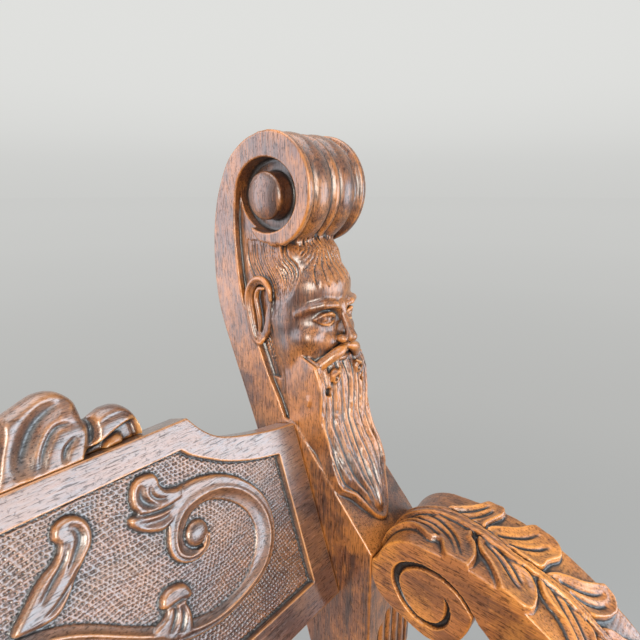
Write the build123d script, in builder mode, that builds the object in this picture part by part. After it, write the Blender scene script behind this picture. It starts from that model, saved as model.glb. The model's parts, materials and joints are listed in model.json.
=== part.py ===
from build123d import *
from math import atan2, cos, radians, sin, tan
import os

# Savonarola armchair: two interleaved sets of S-curved slats that cross on one rod,
# carved back posts, scrolled arms, a carved back panel on hinges and a slatted seat.
# Millimetres. +X is the sitter's left, +Y the back, +Z up, and the floor is Z = 0.
# The left frame carries the sitter's left arm and stands on the right runner.
# Depths and heights of carved parts are counted from the finial scroll's centre.

# ---------------------------------------------------------------- driving dimensions
INNER_WIDTH = 470.0        # clear width between the two back posts
POST_WIDTH = 57.0          # post and arm width across the chair
BACK_RISE = 475.0          # from the seat's axis up to the finial scroll's centre
SCROLL_Y = 230.0           # depth of the finial scroll's centre
SCROLL_R = 36.0            # finial scroll
POST_BLANK = 320.0         # depth of the plank that a post is sawn from
HUB_R = 14.5               # round boss in the middle of the scroll
HUB_PROUD = 3.0            # how far it stands out of the post's side
EYE_R = 24.0               # sunk ring round the boss
EYE_DEPTH = 8.0
REED_R = 5.0               # half-round grooves over the scroll
REED_SPACING = 17.0
FIELD_SINK = 3.5           # sunk field on the post's sides, behind the head

HEAD_Y = -16.0             # middle of the carved head
HEAD_Z = -84.0
HEAD_HALF_WIDTH = 27.0
HEAD_HALF_HEIGHT = 46.0
HEAD_FLAT = 4.0            # cut off the head's egg at its ends, both together
NOSE_WIDTH = 12.0
NOSE_LENGTH = 24.0
NOSE_PROUD = 8.0
EAR_Y = 12.0
EAR_Z = -81.0
EAR_WIDTH = 21.0
EAR_HEIGHT = 44.0
EAR_PROUD = 3.0

SLOPE_TOP = (-20.9, -157.6)    # bare front slope under the beard
SLOPE_FOOT = (-80.0, -219.6)
FRONT_TOP_Z = -228.0           # top of the post's upright front
BACK_FOOT_RISE = 68.0          # above the seat's axis, where the left post's back meets its slat
FRONT_STEP_RISE = 80.0         # above the seat's axis, where the post's front leaves the upright
FRONT_STEP_RUN = 90.0          # height in which it steps over to its slat
POST_BEND = 120.0              # bends where the post runs into its slat
SEAM_RISE = 5.0                # the post's straight part starts this far above the slat's bend
BEARD_RISE = 22.0              # the beard starts this far below the middle of the head
SCROLL_END = 260.0             # degrees; the scroll's rim ends under it, behind the head
SCROLL_FOOT = (-14.0, -130.0)  # front of the neck, inside the head and the beard

PIVOT_Z = 305.0            # rod on which the slats cross
PIVOT_R = 9.0
ELBOW_RISE = 140.0         # the slats bend this far above and below the pivot
BEND_R = 180.0
SLAT_WIDTH = 50.0          # seen from the front
SLAT_THICK = 28.0          # along the depth
WASHER_THICK = 1.8
WASHER_R = 20.0
SPACER_R = 16.0
SIDE_PLAY = 0.1            # on each side of a washer or a spacer
FRAME_PITCH = 120.0        # between two slats of one frame
REAR_SLAT_Y = -69.0        # middle of the rearmost slat
SLATS_PER_FRAME = 4
ROSETTE_R = 32.0
ROSETTE_THICK = 16.0
ROSETTE_RIM = 5.3          # thickness of its rim
ROSETTE_BEAD_R = 20.8      # swell between rim and middle
ROSETTE_BEAD = 12.0
ROSETTE_DISH_R = 12.8      # hollow round the middle
ROSETTE_DISH = 11.2
ROD_END = 6.0              # the pivot rod stands this far into each rosette

RUNNER_HEIGHT = 48.0
RUNNER_WIDTH = 60.0
RUNNER_LENGTH = 511.0
RUNNER_ARCH = 7.0          # hollow under the runner's middle
RUNNER_PAD = 96.0          # length of each foot pad
TOE_R = 27.0

TENON_WIDTH = 30.0
TENON_THICK = 14.0
FOOT_TENON = 26.0
ARM_TENON = 13.0
ARM_TENON_ROOT = 34.0      # tenons start this far below the arm's lower edge
TENON_PLAY = 0.1
FOOT_PEG_R = 4.0
ARM_PEG_R = 2.5

ARM_SCROLL_R = 34.0        # volute where the arm meets the post
ARM_SCROLL_Y = -122.0
ARM_SCROLL_Z = -232.5
ARM_THICK = 26.0
ARM_LEVEL_Z = -272.0       # top of the level run
GRIP_R = 34.0              # volute under the hand
GRIP_OVERHANG = 26.5       # its middle is this far ahead of the front slat's
VOLUTE_EYE_R = 14.0
VOLUTE_RING_R = 23.0
VOLUTE_SINK = 5.0
ARM_GAP = 0.3
ARM_DOWEL_R = 6.0
ARM_DOWEL_LENGTH = 50.0

SEAT_Z = 440.0             # axis of the seat's side rods
SEAT_ROD_R = 5.0
CENTRE_ROD_R = 3.0
SEAT_SLAT_WIDTH = 22.0
SEAT_SLAT_HEIGHT = 28.0
SEAT_PITCH = 24.0
SEAT_START = 7.0           # from a frame slat's face to the first seat slat
SLOT_IN = 24.0             # open slot round the centre rod, towards the side rod
SLOT_OUT = 13.0            # and away from it
SLOT_HALF = 11.5
SLOT_CORNER_R = 3.0
RUN_FIT = 0.05             # radial play of a rod or peg in its bore

PANEL_RECLINE = 19.7       # degrees from upright
PANEL_FOOT_Y = -62.5       # front of the panel's lower end corner
PANEL_FOOT_Z = -273.7
PANEL_THICK = 20.0
PANEL_END_HEIGHT = 125.0
PANEL_MID_HEIGHT = 157.0
PANEL_SHOULDER = 77.0      # from the post to the raised middle's corner
PANEL_BORDER = 19.5
PANEL_TOP_BORDER = 15.0
PANEL_SINK = 3.5           # depth of the sunk ground
PANEL_GAP = 0.3            # at the posts
CATCH_SLOPE = 0.6          # bevel of the free end, across per depth
CATCH_RUNOUT = 42.0        # the post's bevel runs on this far below the panel
CATCH_DEPTH = 80.0
CATCH_OVERRUN = 2.0        # the post's bevel runs on this far above the panel's end
RELIEF_LOW = 0.5           # the carved bands lie this far below the border's face
OVAL_HALF_WIDTH = 44.0     # middle oval of the panel
OVAL_HALF_HEIGHT = 52.0
OVAL_BAND = 10.0
BOSS_IN = 88.2             # round boss inside each scroll, from the post
BOSS_UP = 93.0
BOSS_R = 7.0

CREST_HALF = 134.5
CREST_THICK = 18.0

LEAF_THICK = 1.6
LEAF_LENGTH = 40.0
PANEL_LEAF = 34.0
POST_LEAF = 17.0
KNUCKLE_R = 4.0
KNUCKLE_CLEAR = 1.0        # between the barrel and the wood
HINGE_INSET = 4.5          # hinge axis from the post's face
HINGE_PIN_R = 1.8
HINGE_PIN_END = 1.0        # the pin stands out this far at each end
HINGE_HEIGHTS = (28.0, 98.0)   # hinge middles, up the panel

# ---------------------------------------------------------------- worked-out places
LEFT, RIGHT = 1, -1
SIDE_NAME = {LEFT: "left", RIGHT: "right"}
SIDE_X = INNER_WIDTH / 2
POST_X = SIDE_X + POST_WIDTH / 2
SCROLL_Z = SEAT_Z + BACK_RISE
SLAT_STEP = SLAT_THICK + WASHER_THICK + 2 * SIDE_PLAY
BEND_TOP = PIVOT_Z + ELBOW_RISE + BEND_R * tan((radians(90) - atan2(ELBOW_RISE, POST_X)) / 2)
SEAT_ROD_X = POST_X - BEND_R + (BEND_R**2 - (BEND_TOP - SEAT_Z) ** 2) ** 0.5
PACK_MIDDLE = REAR_SLAT_Y - ((SLATS_PER_FRAME - 1) * FRAME_PITCH + SLAT_STEP) / 2
PACK_LENGTH = (SLATS_PER_FRAME - 1) * FRAME_PITCH + SLAT_STEP + SLAT_THICK
GRIP_Y = REAR_SLAT_Y - (SLATS_PER_FRAME - 1) * FRAME_PITCH - SLAT_STEP - GRIP_OVERHANG
ARM_UNDER_Z = ARM_LEVEL_Z - ARM_THICK
POST_FRONT = ARM_SCROLL_Y + ARM_SCROLL_R + ARM_GAP
RECLINE = radians(PANEL_RECLINE)
HINGE_X = SIDE_X - HINGE_INSET
HINGE_BACK = PANEL_THICK + KNUCKLE_R + KNUCKLE_CLEAR
WIDE = 4 * INNER_WIDTH     # longer than the chair in any direction


def side_plane(x):
    """Seen from the side: x runs back and y up, from the finial scroll's centre."""
    return Plane(origin=(x, SCROLL_Y, SCROLL_Z), x_dir=(0, 1, 0), z_dir=(1, 0, 0))


def front_plane(depth):
    """Upright plane seen from the front, at a depth; x runs across and y up from the floor."""
    return Plane(origin=(0, SCROLL_Y + depth, 0), x_dir=(1, 0, 0), z_dir=(0, -1, 0))


def panel_plane(back=0.0):
    """Plane of the reclined panel: x across, y up, its normal forward."""
    forward = Vector(0, -cos(RECLINE), sin(RECLINE))
    foot = Vector(0, SCROLL_Y + PANEL_FOOT_Y, SCROLL_Z + PANEL_FOOT_Z)
    return Plane(origin=foot - forward * back, x_dir=(1, 0, 0), z_dir=forward)


def hinge_plane(up):
    """Plane across the panel at a height up it: x across, y towards the panel's back."""
    rise = Vector(0, sin(RECLINE), cos(RECLINE))
    foot = Vector(0, SCROLL_Y + PANEL_FOOT_Y, SCROLL_Z + PANEL_FOOT_Z)
    return Plane(origin=foot + rise * up, x_dir=(1, 0, 0), z_dir=rise)


def slat_depth(side, index):
    """Middle of one slat of a frame, counted from the rear."""
    first = REAR_SLAT_Y if side == LEFT else REAR_SLAT_Y - SLAT_STEP
    return first - index * FRAME_PITCH


def seat_depths(side):
    """Middles of one seat half's slats, two in each space between its frame's slats."""
    first = slat_depth(side, 0) - (SLAT_THICK + SEAT_SLAT_WIDTH) / 2
    first -= SEAT_START if side == LEFT else SEAT_START + SEAT_PITCH - SLAT_STEP
    return [first - bay * FRAME_PITCH - pair * 2 * SEAT_PITCH
            for bay in range(SLATS_PER_FRAME - 1) for pair in range(2)]


def arm_underside():
    """Lower edge of the arm, from the rear volute to the level run."""
    return [(-152.0, -223.0), (-165.6, -237.5), (-180.0, -252.0), (-197.0, -267.0),
            (-216.0, -280.0), (-238.0, -290.5), (-264.0, -296.5), (-292.0, ARM_UNDER_Z)]


def underside_height(depth):
    """Height of the arm's lower edge at a depth."""
    points = arm_underside()
    for (y1, z1), (y2, z2) in zip(points, points[1:]):
        if y2 <= depth <= y1:
            return z1 + (z2 - z1) * (depth - y1) / (y2 - y1)
    return ARM_UNDER_Z


def save(piece, name):
    piece.part.label = name
    export_step(piece.part, f"parts/{name}.step")


def bar(plane, x, y, radius, length):
    """Round bar from a plane along its normal."""
    with BuildSketch(plane) as section:
        with Locations((x, y)):
            Circle(radius)
    extrude(section.sketch, amount=length)


def bore(plane, x, y, radius, length):
    """Round bore from a plane along its normal."""
    with BuildSketch(plane) as section:
        with Locations((x, y)):
            Circle(radius)
    extrude(section.sketch, amount=length, mode=Mode.SUBTRACT)


def s_sweep(side, depth, width, thick, top):
    """Slat body: foot on the far side, over the pivot, up to the near side."""
    elbow = side * POST_X
    with BuildLine(front_plane(depth)) as path:
        FilletPolyline(
            (-elbow, RUNNER_HEIGHT),
            (-elbow, PIVOT_Z - ELBOW_RISE),
            (elbow, PIVOT_Z + ELBOW_RISE),
            (elbow, top),
            radius=BEND_R,
        )
    foot = Plane(origin=(-elbow, SCROLL_Y + depth, RUNNER_HEIGHT), x_dir=(1, 0, 0), z_dir=(0, 0, 1))
    with BuildSketch(foot) as section:
        Rectangle(width, thick)
    sweep(sections=section.sketch, path=path.line)


def rod_bores(side, depth):
    """Bores of the pivot rod and of the seat's side rod."""
    plane = front_plane(depth + SLAT_THICK)
    bore(plane, 0, PIVOT_Z, PIVOT_R + RUN_FIT, 2 * SLAT_THICK)
    bore(plane, side * SEAT_ROD_X, SEAT_Z, SEAT_ROD_R + RUN_FIT, 2 * SLAT_THICK)


def foot_tenon(side, depth):
    with Locations((-side * POST_X, SCROLL_Y + depth, RUNNER_HEIGHT - FOOT_TENON / 2)):
        Box(TENON_WIDTH, TENON_THICK, FOOT_TENON)
    foot_peg_bore(-side, depth)


def arm_tenon(side, depth, play, mode):
    """Tenon in an arm, or with play its mortise."""
    low = SCROLL_Z + underside_height(depth) - ARM_TENON_ROOT
    tall = ARM_TENON + ARM_TENON_ROOT + play
    with Locations((side * POST_X, SCROLL_Y + depth, low + tall / 2)):
        Box(TENON_WIDTH + 2 * play, TENON_THICK + 2 * play, tall, mode=mode)


def foot_peg_bore(side, depth):
    plane = Plane(origin=(side * POST_X - RUNNER_WIDTH, SCROLL_Y, 0), x_dir=(0, 1, 0),
                  z_dir=(1, 0, 0))
    bore(plane, depth, RUNNER_HEIGHT - FOOT_TENON / 2, FOOT_PEG_R + RUN_FIT, 2 * RUNNER_WIDTH)


def arm_peg_bore(side, depth):
    plane = side_plane(side * POST_X - POST_WIDTH)
    bore(plane, depth, underside_height(depth) + ARM_TENON / 2, ARM_PEG_R + RUN_FIT,
         2 * POST_WIDTH)


os.makedirs("parts", exist_ok=True)

# ---------------------------------------------------------------- slats between posts and front
for side in (LEFT, RIGHT):
    for index in range(1, SLATS_PER_FRAME):
        depth = slat_depth(side, index)
        with BuildPart() as slat:
            s_sweep(side, depth, SLAT_WIDTH, SLAT_THICK, SCROLL_Z + ARM_LEVEL_Z + ARM_THICK)
            # the top shoulder follows the arm's lower edge
            with BuildSketch(side_plane(side * POST_X - POST_WIDTH)):
                with BuildLine():
                    Polyline(
                        *[(y, z - TENON_PLAY) for y, z in arm_underside()],
                        (-WIDE, ARM_UNDER_Z - TENON_PLAY), (-WIDE, 0),
                        (arm_underside()[0][0], 0), close=True,
                    )
                make_face()
                with Locations((GRIP_Y, ARM_LEVEL_Z - GRIP_R)):
                    Circle(GRIP_R + TENON_PLAY)
            extrude(amount=2 * POST_WIDTH, mode=Mode.SUBTRACT)
            arm_tenon(side, depth, 0.0, Mode.ADD)
            foot_tenon(side, depth)
            rod_bores(side, depth)
            arm_peg_bore(side, depth)
        save(slat, f"slat_{SIDE_NAME[side]}_{index}")

# ---------------------------------------------------------------- back posts
BACK_EDGE = [(22.6, 30.7), (38.4, 19.5), (49.0, 2.2), (54.9, -13.6), (58.6, -33.7),
             (59.5, -61.1), (55.7, -87.1), (45.5, -113.6), (31.5, -145.5), (19.5, -174.0)]
FIELD_EDGE = [(30.0, -38.0), (33.2, -46.0), (31.8, -63.4), (28.2, -83.3),
              (16.0, -105.0), (5.1, -127.2), (-10.2, -155.9)]
FIELD_FRONT_Y = -60.0
BEARD_TOP = HEAD_Z - BEARD_RISE
BEARD_SIDE = [(-10.0, BEARD_TOP), (-42.0, BEARD_TOP), (-50.0, -126.0), (-51.0, -150.0),
              (-63.0, -180.0), (-75.0, -203.0), (-82.0, -217.0), (-76.0, -219.0),
              (-30.0, -172.0)]
BEARD_FRONT = [(25.0, BEARD_TOP), (27.0, -186.0), (10.0, -212.0), (0.0, -219.0)]
BACK_FOOT_Z = SEAT_Z + BACK_FOOT_RISE - SCROLL_Z
BACK_RUN = BACK_EDGE[-1][0] - (REAR_SLAT_Y + SLAT_THICK / 2)
BACK_LEAN = BACK_RUN / (BACK_EDGE[-1][1] - BACK_FOOT_Z)    # forward per height, down the back
FRONT_BEND_Z = SEAT_Z + FRONT_STEP_RISE - SCROLL_Z
RIM_END = (SCROLL_R * cos(radians(SCROLL_END)), SCROLL_R * sin(radians(SCROLL_END)))

for side in (LEFT, RIGHT):
    middle = side * POST_X
    depth = slat_depth(side, 0)
    slat_back = depth + SLAT_THICK / 2
    slat_front = depth - SLAT_THICK / 2
    floor_z = RUNNER_HEIGHT - SCROLL_Z
    seam_z = BEND_TOP - SCROLL_Z + SEAM_RISE
    lean_y = BACK_EDGE[-1][0] - BACK_LEAN * (BACK_EDGE[-1][1] - seam_z)

    # long beard that lies on the post's front slope
    with BuildPart() as beard:
        with BuildSketch(side_plane(middle - POST_WIDTH / 2)):
            with BuildLine():
                Polyline(*BEARD_SIDE, close=True)
            make_face()
        extrude(amount=POST_WIDTH)
        with BuildSketch(Plane.XZ.offset(-WIDE)):
            with BuildLine():
                Polyline(
                    *[(middle - x, SCROLL_Z + z) for x, z in BEARD_FRONT],
                    *[(middle + x, SCROLL_Z + z) for x, z in reversed(BEARD_FRONT[:-1])],
                    close=True,
                )
            make_face()
        extrude(amount=2 * WIDE, mode=Mode.INTERSECT)

    with BuildPart() as post:
        # lower part: a bent slat whose depth tapers
        s_sweep(side, depth, POST_WIDTH, POST_BLANK, BEND_TOP + POST_BLANK / 2)
        with BuildSketch(side_plane(-SIDE_X - POST_BLANK)):
            with BuildLine():
                FilletPolyline((lean_y, seam_z), (slat_back, seam_z - (lean_y - slat_back) / BACK_LEAN),
                               (slat_back, floor_z), radius=POST_BEND)
                Line((slat_back, floor_z), (slat_front, floor_z))
                FilletPolyline((slat_front, floor_z), (slat_front, FRONT_BEND_Z - FRONT_STEP_RUN),
                               (POST_FRONT, FRONT_BEND_Z), (POST_FRONT, seam_z), radius=POST_BEND)
                Line((POST_FRONT, seam_z), (lean_y, seam_z))
            make_face()
        extrude(amount=INNER_WIDTH + 2 * POST_BLANK, mode=Mode.INTERSECT)
        # upper part with the finial scroll
        with BuildSketch(side_plane(middle - POST_WIDTH / 2)):
            with BuildLine():
                Spline((0, SCROLL_R), *BACK_EDGE, tangents=[(1, 0), (-BACK_LEAN, -1)])
                Polyline(BACK_EDGE[-1], (lean_y, seam_z), (POST_FRONT, seam_z),
                         (POST_FRONT, FRONT_TOP_Z), SLOPE_FOOT, SLOPE_TOP, SCROLL_FOOT, RIM_END)
                CenterArc((0, 0), SCROLL_R, 90, SCROLL_END - 90)
            make_face()
        extrude(amount=POST_WIDTH)
        # sunk field behind the head, and the eye of the scroll, on both sides
        for face, way in ((middle - POST_WIDTH / 2, 1), (middle + POST_WIDTH / 2, -1)):
            with BuildSketch(side_plane(face)):
                with BuildLine():
                    Spline(*FIELD_EDGE)
                    Polyline(FIELD_EDGE[-1], (FIELD_FRONT_Y, FIELD_EDGE[-1][1]),
                             (FIELD_FRONT_Y, FIELD_EDGE[0][1]), FIELD_EDGE[0])
                make_face()
            extrude(amount=way * FIELD_SINK, mode=Mode.SUBTRACT)
            with BuildSketch(side_plane(face)):
                Circle(EYE_R)
            extrude(amount=way * EYE_DEPTH, mode=Mode.SUBTRACT)
            with BuildSketch(side_plane(face - way * HUB_PROUD)):
                Circle(HUB_R)
            extrude(amount=way * (EYE_DEPTH + HUB_PROUD))
            with BuildSketch(side_plane(face - way * (EAR_PROUD - FIELD_SINK))):
                with Locations((EAR_Y, EAR_Z)):
                    Ellipse(EAR_WIDTH / 2, EAR_HEIGHT / 2)
            extrude(amount=way * EAR_PROUD)
        # half-round grooves over the top and front of the scroll
        for offset in (-REED_SPACING, 0, REED_SPACING):
            with BuildSketch(Plane(origin=(middle, SCROLL_Y, SCROLL_Z), x_dir=(1, 0, 0),
                                   z_dir=(0, -1, 0))):
                with Locations((offset, -SCROLL_R)):
                    Circle(REED_R / 2)
            revolve(axis=Axis((middle, SCROLL_Y, SCROLL_Z), (-1, 0, 0)), revolution_arc=200,
                    mode=Mode.SUBTRACT)
        # head with a plain nose
        with BuildSketch(front_plane(HEAD_Y)):
            with Locations((middle, SCROLL_Z + HEAD_Z)):
                Ellipse(HEAD_HALF_WIDTH, HEAD_HALF_HEIGHT)
            with Locations((middle + HEAD_HALF_WIDTH, SCROLL_Z + HEAD_Z)):
                Rectangle(2 * HEAD_HALF_WIDTH, 2 * HEAD_HALF_HEIGHT - HEAD_FLAT,
                          mode=Mode.INTERSECT)
        revolve(axis=Axis((middle, SCROLL_Y + HEAD_Y, SCROLL_Z), (0, 0, 1)))
        with BuildSketch(side_plane(middle - NOSE_WIDTH / 2)):
            with BuildLine():
                face_y = HEAD_Y - HEAD_HALF_WIDTH
                Polyline((HEAD_Y, HEAD_Z + NOSE_LENGTH / 2), (face_y, HEAD_Z + NOSE_LENGTH / 2),
                         (face_y - NOSE_PROUD, HEAD_Z - NOSE_LENGTH / 2),
                         (HEAD_Y, HEAD_Z - NOSE_LENGTH / 2), close=True)
            make_face()
        extrude(amount=NOSE_WIDTH)
        add(beard.part)
        foot_tenon(side, depth)
        rod_bores(side, depth)
        bore(front_plane(POST_FRONT + ARM_DOWEL_LENGTH / 2 + TENON_PLAY), middle,
             SCROLL_Z + ARM_SCROLL_Z, ARM_DOWEL_R + RUN_FIT, ARM_DOWEL_LENGTH)
        if side == RIGHT:
            # bevelled seat for the panel's free end, open to the back
            with BuildSketch(hinge_plane(-CATCH_RUNOUT)):
                with BuildLine():
                    Polyline((0, 0), (-SIDE_X, 0),
                             (-SIDE_X - CATCH_SLOPE * CATCH_DEPTH, CATCH_DEPTH),
                             (0, CATCH_DEPTH), close=True)
                make_face()
            extrude(amount=CATCH_RUNOUT + PANEL_END_HEIGHT + CATCH_OVERRUN, mode=Mode.SUBTRACT)
    save(post, f"back_post_{SIDE_NAME[side]}")

# ---------------------------------------------------------------- arms and their fastenings
ARM_TOP = [(-149.0, -197.0), (-166.0, -199.5), (-183.0, -205.0), (-200.0, -214.0),
           (-220.0, -229.0), (-240.0, -245.5), (-262.0, -260.5), (-288.0, -270.0),
           (-320.0, ARM_LEVEL_Z)]

for side in (LEFT, RIGHT):
    middle = side * POST_X
    inner = middle - POST_WIDTH / 2
    depths = [slat_depth(side, index) for index in range(1, SLATS_PER_FRAME)]
    volutes = ((ARM_SCROLL_Y, ARM_SCROLL_Z, ARM_SCROLL_R),
               (GRIP_Y, ARM_LEVEL_Z - GRIP_R, GRIP_R))
    with BuildPart() as arm:
        with BuildSketch(side_plane(inner)):
            with BuildLine():
                Spline((ARM_SCROLL_Y, ARM_SCROLL_Z + ARM_SCROLL_R), *ARM_TOP,
                       tangents=[(-1, 0), (-1, 0)])
                Polyline(ARM_TOP[-1], (GRIP_Y, ARM_LEVEL_Z), (GRIP_Y, ARM_UNDER_Z),
                         *reversed(arm_underside()), (ARM_SCROLL_Y, ARM_SCROLL_Z),
                         (ARM_SCROLL_Y, ARM_SCROLL_Z + ARM_SCROLL_R))
            make_face()
            for y, z, radius in volutes:
                with Locations((y, z)):
                    Circle(radius)
        extrude(amount=POST_WIDTH)
        for y, z, radius in volutes:
            for face, way in ((inner, 1), (inner + POST_WIDTH, -1)):
                with BuildSketch(side_plane(face)):
                    with Locations((y, z)):
                        Circle(VOLUTE_RING_R)
                        Circle(VOLUTE_EYE_R, mode=Mode.SUBTRACT)
                extrude(amount=way * VOLUTE_SINK, mode=Mode.SUBTRACT)
        for depth in depths:
            arm_tenon(side, depth, TENON_PLAY, Mode.SUBTRACT)
            arm_peg_bore(side, depth)
        bore(front_plane(POST_FRONT), middle, SCROLL_Z + ARM_SCROLL_Z,
             ARM_DOWEL_R + RUN_FIT, ARM_DOWEL_LENGTH / 2 + TENON_PLAY)
    save(arm, f"arm_{SIDE_NAME[side]}")

    with BuildPart() as dowel:
        bar(front_plane(POST_FRONT + ARM_DOWEL_LENGTH / 2), middle, SCROLL_Z + ARM_SCROLL_Z,
            ARM_DOWEL_R, ARM_DOWEL_LENGTH)
    save(dowel, f"arm_dowel_{SIDE_NAME[side]}")

    with BuildPart() as pegs:
        for depth in depths:
            bar(side_plane(inner), depth, underside_height(depth) + ARM_TENON / 2,
                ARM_PEG_R, POST_WIDTH)
    save(pegs, f"arm_pegs_{SIDE_NAME[side]}")

# ---------------------------------------------------------------- runners
RUNNER_REAR = PACK_MIDDLE + RUNNER_LENGTH / 2
RUNNER_FRONT = PACK_MIDDLE - RUNNER_LENGTH / 2

for side in (LEFT, RIGHT):
    middle = side * POST_X
    depths = [slat_depth(-side, index) for index in range(SLATS_PER_FRAME)]
    base = Plane(origin=(middle - RUNNER_WIDTH / 2, SCROLL_Y, 0), x_dir=(0, 1, 0),
                 z_dir=(1, 0, 0))
    with BuildPart() as runner:
        with BuildSketch(base):
            with Locations((PACK_MIDDLE, RUNNER_HEIGHT / 2)):
                Rectangle(RUNNER_LENGTH - 2 * TOE_R, RUNNER_HEIGHT)
            with Locations((RUNNER_REAR - TOE_R, TOE_R), (RUNNER_FRONT + TOE_R, TOE_R)):
                Circle(TOE_R)
            with BuildLine():
                Polyline((RUNNER_FRONT + RUNNER_PAD, 0),
                         (RUNNER_FRONT + RUNNER_PAD + 3 * RUNNER_ARCH, RUNNER_ARCH),
                         (RUNNER_REAR - RUNNER_PAD - 3 * RUNNER_ARCH, RUNNER_ARCH),
                         (RUNNER_REAR - RUNNER_PAD, 0), close=True)
            make_face(mode=Mode.SUBTRACT)
        extrude(amount=RUNNER_WIDTH)
        for depth in depths:
            with Locations((middle, SCROLL_Y + depth, RUNNER_HEIGHT)):
                Box(TENON_WIDTH + 2 * TENON_PLAY, TENON_THICK + 2 * TENON_PLAY,
                    2 * (FOOT_TENON + TENON_PLAY), mode=Mode.SUBTRACT)
            foot_peg_bore(side, depth)
    save(runner, f"runner_{SIDE_NAME[side]}")

    with BuildPart() as pegs:
        for depth in depths:
            bar(base, depth, RUNNER_HEIGHT - FOOT_TENON / 2, FOOT_PEG_R, RUNNER_WIDTH)
    save(pegs, f"runner_pegs_{SIDE_NAME[side]}")

# ---------------------------------------------------------------- pivot rod and what is on it
PACK_REAR = REAR_SLAT_Y + SLAT_THICK / 2
PACK_FRONT = PACK_REAR - PACK_LENGTH

with BuildPart() as pivot_rod:
    bar(front_plane(PACK_REAR + ROD_END), 0, PIVOT_Z, PIVOT_R, PACK_LENGTH + 2 * ROD_END)
save(pivot_rod, "pivot_rod")

with BuildPart() as washers:
    for index in range(SLATS_PER_FRAME):
        rear_face = slat_depth(LEFT, index) - SLAT_THICK / 2 - SIDE_PLAY
        with BuildSketch(front_plane(rear_face)):
            with Locations((0, PIVOT_Z)):
                Circle(WASHER_R)
                Circle(PIVOT_R + RUN_FIT, mode=Mode.SUBTRACT)
        extrude(amount=WASHER_THICK)
save(washers, "pivot_washers")

with BuildPart() as spacers:
    for index in range(SLATS_PER_FRAME - 1):
        rear_face = slat_depth(RIGHT, index) - SLAT_THICK / 2 - SIDE_PLAY
        with BuildSketch(front_plane(rear_face)):
            with Locations((0, PIVOT_Z)):
                Circle(SPACER_R)
                Circle(PIVOT_R + RUN_FIT, mode=Mode.SUBTRACT)
        extrude(amount=FRAME_PITCH - SLAT_STEP - SLAT_THICK - 2 * SIDE_PLAY)
save(spacers, "pivot_spacers")

for name, face, way in (("rosette_rear", PACK_REAR + SIDE_PLAY, 1),
                        ("rosette_front", PACK_FRONT - SIDE_PLAY, -1)):
    with BuildPart() as rosette:
        with BuildSketch(Plane.YZ):
            with BuildLine():
                y = SCROLL_Y + face
                Polyline((y, PIVOT_Z), (y, PIVOT_Z + ROSETTE_R),
                         (y + way * ROSETTE_RIM, PIVOT_Z + ROSETTE_R))
                Spline((y + way * ROSETTE_RIM, PIVOT_Z + ROSETTE_R),
                       (y + way * ROSETTE_BEAD, PIVOT_Z + ROSETTE_BEAD_R),
                       (y + way * ROSETTE_DISH, PIVOT_Z + ROSETTE_DISH_R),
                       (y + way * ROSETTE_THICK, PIVOT_Z), tangents=[(0.2 * way, -1), (0, -1)])
                Line((y + way * ROSETTE_THICK, PIVOT_Z), (y, PIVOT_Z))
            make_face()
        revolve(axis=Axis((0, 0, PIVOT_Z), (0, 1, 0)))
        bore(front_plane(face), 0, PIVOT_Z, PIVOT_R + RUN_FIT, -way * (ROD_END + TENON_PLAY))
    save(rosette, name)

# ---------------------------------------------------------------- seat
for side in (LEFT, RIGHT):
    depths = seat_depths(side)
    rear, front = slat_depth(side, 0), slat_depth(side, SLATS_PER_FRAME - 1)
    with BuildPart() as seat_rod:
        bar(front_plane(rear + SLAT_THICK / 2), side * SEAT_ROD_X, SEAT_Z, SEAT_ROD_R,
            rear - front + SLAT_THICK)
    save(seat_rod, f"seat_rod_{SIDE_NAME[side]}")
    for number, depth in enumerate(depths, 1):
        inner = 0 if side == LEFT else SLOT_OUT
        length = SEAT_ROD_X + inner
        with BuildPart() as seat_slat:
            with BuildSketch(front_plane(depth + SEAT_SLAT_WIDTH / 2)):
                with Locations((side * (SEAT_ROD_X - inner) / 2, SEAT_Z)):
                    SlotCenterToCenter(length, SEAT_SLAT_HEIGHT)
                with Locations((side * SEAT_ROD_X, SEAT_Z)):
                    Circle(SEAT_ROD_R + RUN_FIT, mode=Mode.SUBTRACT)
                if side == LEFT:
                    with Locations((0, SEAT_Z)):
                        Circle(CENTRE_ROD_R + RUN_FIT, mode=Mode.SUBTRACT)
                else:
                    with Locations(((SLOT_OUT - SLOT_IN) / 2, SEAT_Z)):
                        RectangleRounded(SLOT_IN + SLOT_OUT, 2 * SLOT_HALF, SLOT_CORNER_R,
                                         mode=Mode.SUBTRACT)
            extrude(amount=SEAT_SLAT_WIDTH)
        save(seat_slat, f"seat_slat_{SIDE_NAME[side]}_{number}")

SEAT_REAR = seat_depths(LEFT)[0] + SEAT_SLAT_WIDTH / 2
SEAT_FRONT = seat_depths(RIGHT)[-1] - SEAT_SLAT_WIDTH / 2
with BuildPart() as centre_rod:
    bar(front_plane(SEAT_REAR), 0, SEAT_Z, CENTRE_ROD_R, SEAT_REAR - SEAT_FRONT)
save(centre_rod, "seat_rod_centre")

# ---------------------------------------------------------------- back panel and crest
PANEL_TOP = [(-21.0, 128.0), (-41.0, 132.7), (-55.5, 137.3), (-64.0, 142.0), (-71.0, 148.7)]
GROUND_TOP = [(-40.0, 115.8), (-58.0, 122.7), (-70.0, 129.5)]
SCROLL_OUTER = [(-80.0, 121.0), (-65.0, 117.0), (-50.0, 106.0), (-39.0, 74.0),
                (-51.0, 48.0), (-85.5, 39.6), (-114.5, 51.0)]
SCROLL_INNER = [(-110.0, 57.0), (-84.0, 50.0), (-60.0, 59.0), (-51.0, 76.0),
                (-58.0, 95.0), (-72.0, 104.0), (-84.0, 105.0)]

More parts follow.
